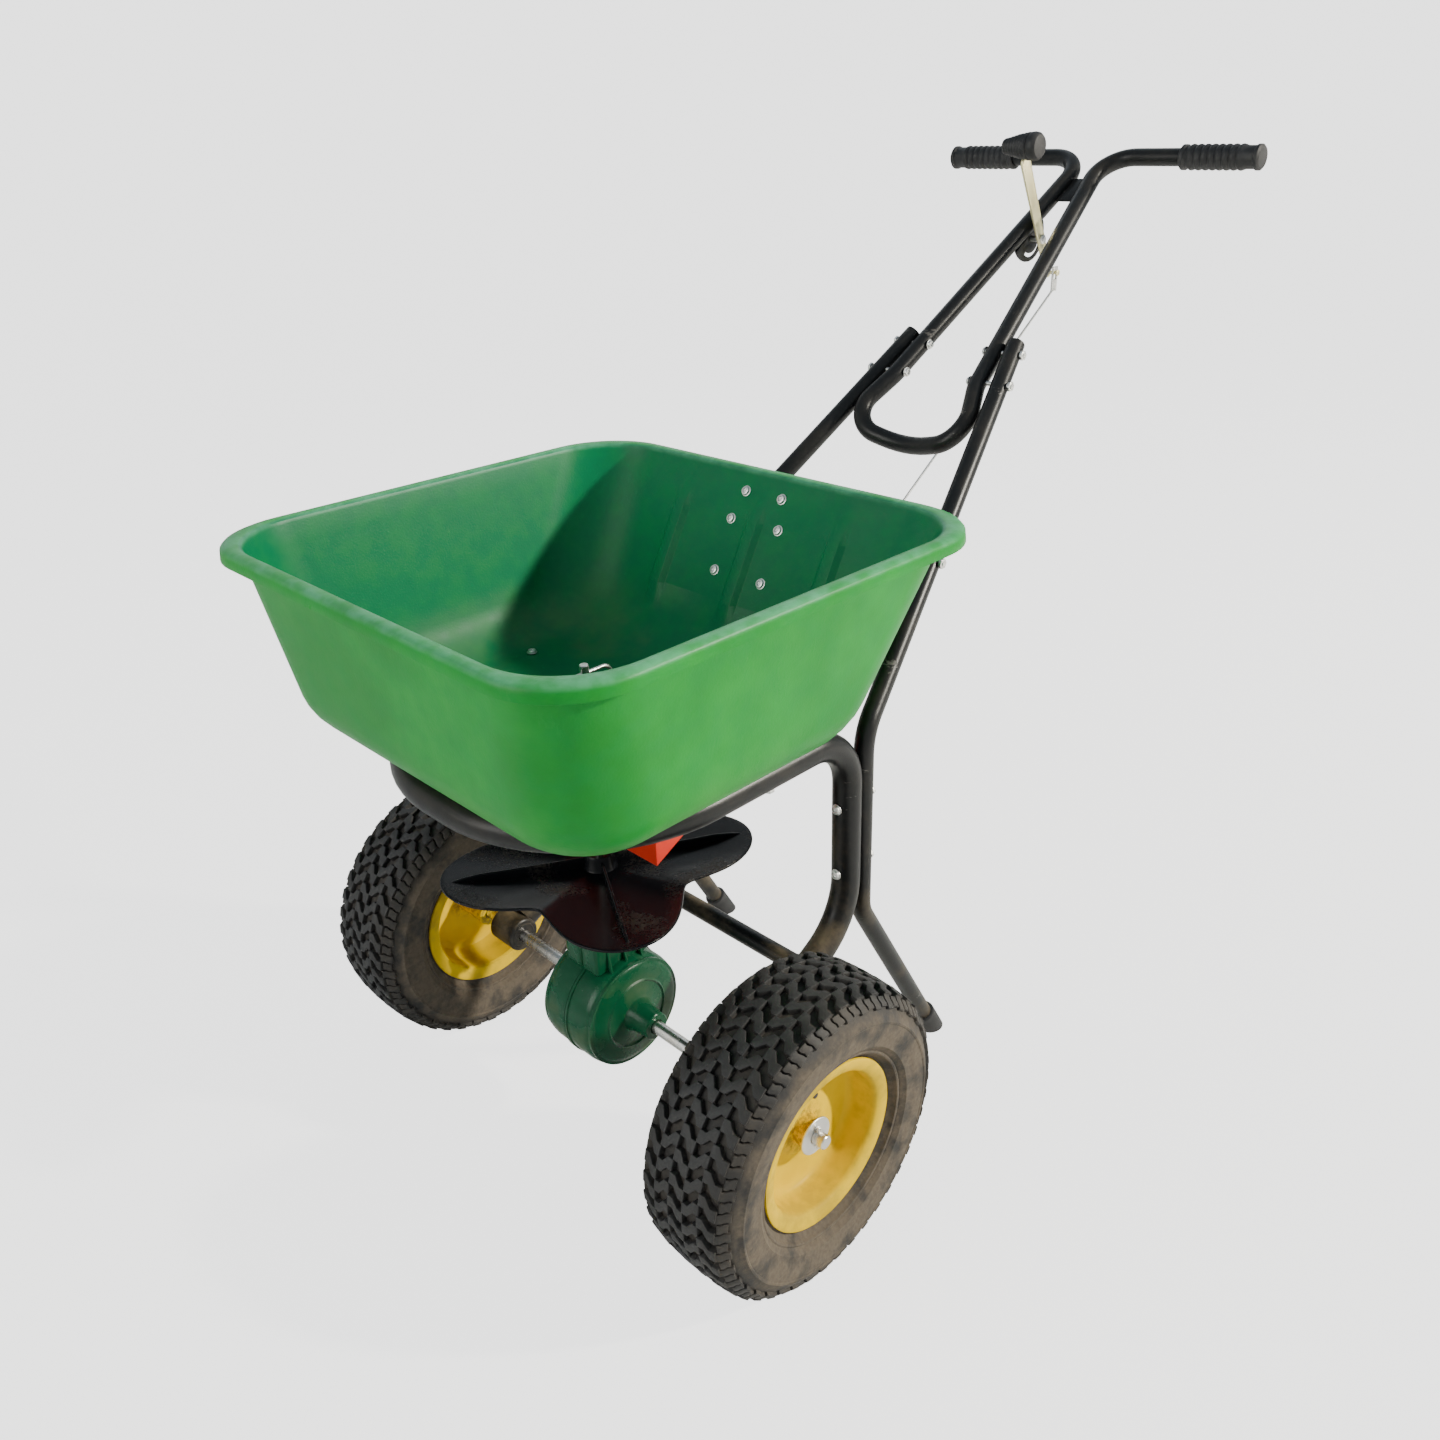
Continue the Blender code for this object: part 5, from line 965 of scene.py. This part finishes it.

# --- Spreading disc ----------------------------------------------------------------------
# A glossy black moulded disc with four broad lobes, a raised vane along each and a hub that
# # is pinned to the upright shaft. It has patches of grey-brown dust all over it.

disc_black = Finish("disc_gloss_black", 0.16, gloss=0.13)
disc_cloud = disc_black.noise(16.0, 5.0)
disc_fleck = disc_black.noise(300.0, 4.0, roughness=0.7)
disc_dust = disc_black.step(disc_cloud, 0.50, 0.72) * disc_black.step(disc_fleck, 0.42, 0.60)
disc_black.set("Base Color", disc_black.blend(
    disc_dust * 0.30, (0.004, 0.0045, 0.006), (0.10, 0.085, 0.065)))
disc_black.set("Roughness", 0.20 + disc_dust * 0.35 + disc_cloud * 0.08)
disc_black.relief(disc_cloud, 0.0005, 0.25)
disc_height = 0.342
disc_points = 160
hub_radius = 0.0175
waist_radius = 0.112
lobe_reach = 0.060
lobe_count = 4
lobe_turn = math.radians(60)
bpy.ops.object.select_all(action="DESELECT")
bpy.ops.mesh.primitive_circle_add(
    vertices=disc_points, radius=hub_radius, fill_type="NOTHING", location=(0, 0, disc_height))
disc = bpy.context.object
disc.name = "spreading_disc"
fix_place()
ring_shares = (0, 0.10, 0.25, 0.42, 0.60, 0.76, 0.89, 0.97, 1.0)
edit_all()
for ring in ring_shares[1:]:
    bpy.ops.mesh.extrude_edges_move(TRANSFORM_OT_translate={"value": (0, 0, 0.00001)})
leave_edit()
for vertex in disc.data.vertices:
    share = ring_shares[vertex.index // disc_points]
    angle = math.atan2(vertex.co.y, vertex.co.x)
    swell = 0.5 + 0.5 * math.cos(lobe_count * (angle - lobe_turn))
    edge_radius = waist_radius + lobe_reach * swell ** 0.8
    radius = hub_radius + (edge_radius - hub_radius) * share
    flute = 0.0016 * math.cos(2 * lobe_count * (angle - lobe_turn)) * share * (1 - share * 0.5)
    rise = 0.010 * share ** 2 + flute
    vertex.co = (radius * math.cos(angle), radius * math.sin(angle), disc_height + rise)
disc.location = (0, axle_y, 0)
take(disc)
fix_place()
edit_all()
bpy.ops.mesh.normals_make_consistent(inside=False)
leave_edit()
give_wall(disc, 0.003, 1 if disc.data.polygons[0].normal.z > 0 else -1)
round_edges(disc, 0.0009, 3, 50)
settle(disc, disc_black, 50)
shaft_bore = 0.0054
disc_hub = lathe("disc_hub", [
    (shaft_bore, -0.010), (0.0165, -0.010), (0.0180, -0.0085), (0.0180, 0.0), (0.0200, 0.0018),
    (0.0180, 0.0046), (0.0165, 0.0180), (0.0152, 0.0200), (shaft_bore, 0.0200), (shaft_bore, -0.010),
], disc_black, 48, (0, axle_y, disc_height), (0, 0, 1))
vane_root = 0.012
vane_length = 0.148
vanes = []
for lobe in range(lobe_count):
    vane = block((0.147, 0.003, 0.014), (0.0865, 0, 0))
    bpy.ops.object.mode_set(mode="EDIT")
    for cut in (0.03, 0.05, 0.07, 0.09, 0.11, 0.13, 0.148):
        bpy.ops.mesh.select_all(action="SELECT")
        bpy.ops.mesh.bisect(plane_co=(cut, 0, 0), plane_no=(1, 0, 0))
    leave_edit()
    for vertex in vane.data.vertices:
        out = (vertex.co.x - vane_root) / vane_length
        foot = 0.0012 + 0.0095 * out ** 2
        crest = 0.0155 - 0.002 * out + 0.004 * out ** 2 - 0.005 * max(0.0, out - 0.85) / 0.15
        vertex.co.z = disc_height + (crest if vertex.co.z > 0 else foot)
    vane_turn = Matrix.Rotation(lobe_turn + lobe * math.tau / lobe_count, 4, "Z")
    vane.matrix_world = Matrix.Translation((0, axle_y, 0)) @ vane_turn
    round_edges(vane, 0.0009, 3)
    vanes.append(settle(vane, disc_black, 40))
join_into(disc, disc_hub, *vanes)
hand_over(disc, "spinner", "impeller")

# --- Upright shaft and agitator ----------------------------------------------------------
# A bright steel shaft carries the disc from the gearbox up into the hopper. A bent zinc wire
# through its top stirs the load, and a nylon bush steadies it in the hopper floor.

shaft_low, shaft_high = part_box("impeller_shaft")
shaft_length = shaft_high.z - shaft_low.z
shaft = lathe("upright_shaft", [
    (0, 0), (0.0042, 0), (0.0050, 0.0008), (0.0050, shaft_length - 0.0008), (0.0042, shaft_length),
    (0, shaft_length),
], bright_steel, 32, (0, axle_y, shaft_low.z), (0, 0, 1))
hand_over(shaft, "spinner", "impeller_shaft")
wire_z = shaft_high.z - 0.010
wire_radius = 0.002
stirrer = bend_tube("agitator_wire", [
    (0, axle_y - 0.048, wire_z - 0.030), (0, axle_y - 0.030, wire_z), (0, axle_y + 0.030, wire_z),
    (0, axle_y + 0.048, wire_z - 0.030),
], [0.01, 0.01], wire_radius, wire_radius - 0.0001, zinc_plate, 14)
hand_over(stirrer, "spinner", "agitator")

nylon = Finish("natural_nylon", 0.45)
nylon_cloud = nylon.noise(60.0, 3.0)
nylon.set("Base Color", nylon.blend(nylon_cloud, (0.60, 0.58, 0.50), (0.76, 0.75, 0.70)))
nylon.set("Roughness", 0.38 + nylon_cloud * 0.2)
nylon.relief(nylon.noise(400.0, 2.0), 0.0002, 0.3)
bush_low, bush_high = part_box("shaft_bush")
bush_height = bush_high.z - bush_low.z
bush = lathe("floor_bush", [
    (shaft_bore, 0), (0.0085, 0), (0.0090, 0.0005), (0.0090, bush_height - 0.0020),
    (0.0126, bush_height - 0.0020), (0.0130, bush_height - 0.0014), (0.0124, bush_height),
    (0.0060, bush_height), (shaft_bore, bush_height - 0.0006), (shaft_bore, 0),
], nylon, 40, (0, axle_y, bush_low.z), (0, 0, 1))
hand_over(bush, "stand", "shaft_bush")
hand_over(refine("drive_gear", "crown_gear", nylon, 0.0003, 1), "drive_axle", "drive_gear")
hand_over(refine("pinion", "shaft_pinion", nylon, 0.0002, 1), "spinner", "pinion")

# --- Gearbox -----------------------------------------------------------------------------
# Two dark green moulded halves joined on the middle plane. A drum holds the crown gear, a
# neck the pinion and shaft, and a boss on each side the axle. Ribs and flanges stiffen it.

case_green = Finish("gearbox_dark_green", 0.3, gloss=0.22)
case_cloud = case_green.noise(22.0, 5.0)
case_height = case_green.part(2)
case_dust = case_green.step(case_cloud, 0.48, 0.70) * case_green.step(case_height, 0.10, 0.28, 0.8, 0.25)
case_green.set("Base Color", case_green.blend(
    case_dust * 0.35, case_green.blend(case_cloud, (0.0015, 0.048, 0.019), (0.003, 0.075, 0.031)),
    (0.15, 0.13, 0.07)))
case_green.set("Roughness", 0.22 + case_dust * 0.4 + case_cloud * 0.08)
case_green.relief(case_green.noise(360.0, 3.0), 0.0004, 0.35)
boss_bore = 0.0082
drum_back = 0.0405
neck_middle = 0.01415
neck_height = 0.2585
drum_inside = 0.0656
for side, word in ((1, "right"), (-1, "left")):
    case = lathe(f"gear_case_{word}", [
        (boss_bore, drum_back), (0.0650, drum_back), (0.0652, 0.0005), (0.0690, 0.0003), (0.0690, 0.0035),
        (0.0676, 0.0042), (0.0674, 0.0280), (0.0665, 0.0340), (0.0640, 0.0385), (0.0600, 0.0418),
        (0.0545, 0.0436), (0.0430, 0.0444), (0.0410, 0.0460), (0.0390, 0.0444), (0.0240, 0.0452),
        (0.0205, 0.0470), (0.0188, 0.0510), (0.0176, 0.0560), (0.0166, 0.0640), (0.0158, 0.0720),
        (0.0158, 0.0770), (0.0148, 0.0780), (0.0088, 0.0780), (boss_bore, 0.0774), (boss_bore, drum_back),
    ], case_green, 96, (0, axle_y, axle_z), (side, 0, 0))
    neck = block((0.0277, 0.076, 0.067), (side * neck_middle, axle_y, neck_height))
    carve(neck, (side * neck_middle - 0.03, axle_y - drum_inside, axle_z - drum_inside),
          (side * neck_middle + 0.03, axle_y + drum_inside, axle_z + 0.0400))
    round_edges(neck, 0.0048, 4, 60)
    neck_parts = [settle(neck, case_green, 40)]
    for rib_y in (-0.022, 0.0, 0.022):
        rib = block((0.013, 0.0026, 0.052), (side * 0.0335, axle_y + rib_y, 0.2300))
        for vertex in rib.data.vertices:
            if abs(vertex.co.x) > 0.035 and vertex.co.z > 0.24:
                vertex.co.x = side * 0.0285
        round_edges(rib, 0.0008, 2)
        neck_parts.append(settle(rib, case_green, 40))
    join_into(case, *neck_parts)
    hand_over(case, "stand", f"gearbox_half_{word}")

# --- Bolts and screws --------------------------------------------------------------------
# Zinc-plated machine bolts: a round head with a recess, a plain shank and a hexagon nut that
# leaves a little of the shank showing.


def bolt(name, head_end, direction, length, head, shank):
    """A bolt from the top of its head to its thread's end, length apart along a direction."""
    made = lathe(name, [
        (0, 0.0020), (head * 0.40, 0.0020), (head * 0.48, 0.0003), (head * 0.74, 0.0006),
        (head * 0.82, 0.0014), (head * 0.84, 0.0030), (head, 0.0032), (head, 0.0040), (shank, 0.0040),
        (shank, length - 0.0005), (shank - 0.0004, length), (0, length),
    ], zinc_plate, 24, head_end, direction)
    bpy.ops.object.select_all(action="DESELECT")
    bpy.ops.mesh.primitive_cylinder_add(
        vertices=6, radius=head, depth=0.0036, rotation=(0, math.radians(90), 0))
    nut = bpy.context.object
    fix_place()
    edit_all()
    bpy.ops.mesh.bevel(offset=0.0005, segments=2, affect="EDGES")
    leave_edit()
    toward = Vector(direction).normalized()
    nut.location = Vector(head_end) + toward * (length - 0.0032)
    nut.rotation_mode = "QUATERNION"
    nut.rotation_quaternion = Vector((1, 0, 0)).rotation_difference(toward)
    settle(nut, zinc_plate, 30)
    join_into(made, nut)
    return made


wall_run = (wall_top.z - floor_rear) / (mouth_z - floor_z)
through_wall = Vector((0, 1, -wall_run)).normalized()
bolt_kinds = []
for word, side in (("right", 1), ("left", -1)):
    for row in ("top", "middle", "bottom"):
        bolt_kinds.append((f"wall_bolt_{word}_{row}", through_wall))
    bolt_kinds += [(f"frame_bolt_{word}_{row}", Vector((0, 1, 0))) for row in ("upper", "lower")]
    bolt_kinds += [(f"handle_bolt_{word}_{row}", Vector((side, 0, 0))) for row in ("upper", "lower")]
    bolt_kinds.append((f"floor_bolt_{word}", Vector((0, 0, -1))))
    bolt_kinds.append((f"brace_bolt_{word}", Vector((side, 0, 0))))
for word in ("front", "rear"):
    bolt_kinds.append((f"gearbox_screw_{word}", Vector((-1, 0, 0))))
for node, direction in bolt_kinds:
    bolt_low, bolt_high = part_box(node)
    centre = (bolt_low + bolt_high) / 2
    size = bolt_high - bolt_low
    head, shank = (0.0040, 0.0019) if node.startswith("gearbox") else (0.0062, 0.0029)
    main = max(range(3), key=lambda axis: abs(direction[axis]))
    slant = math.sqrt(max(0.0, 1 - direction[main] ** 2))
    length = (size[main] - 2 * head * slant) / abs(direction[main])
    made = bolt(f"{node}_zinc", centre - direction * length / 2, direction, length, head, shank)
    hand_over(made, "stand", node)
pivot_place = base_of("lever_pivot_bolt")
pivot_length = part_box("lever_pivot_bolt")[1].x - pivot_place.x
pivot = bolt("lever_pivot_zinc", pivot_place, (1, 0, 0), pivot_length, head=0.0063, shank=0.0039)
hand_over(pivot, "stand", "lever_pivot_bolt")
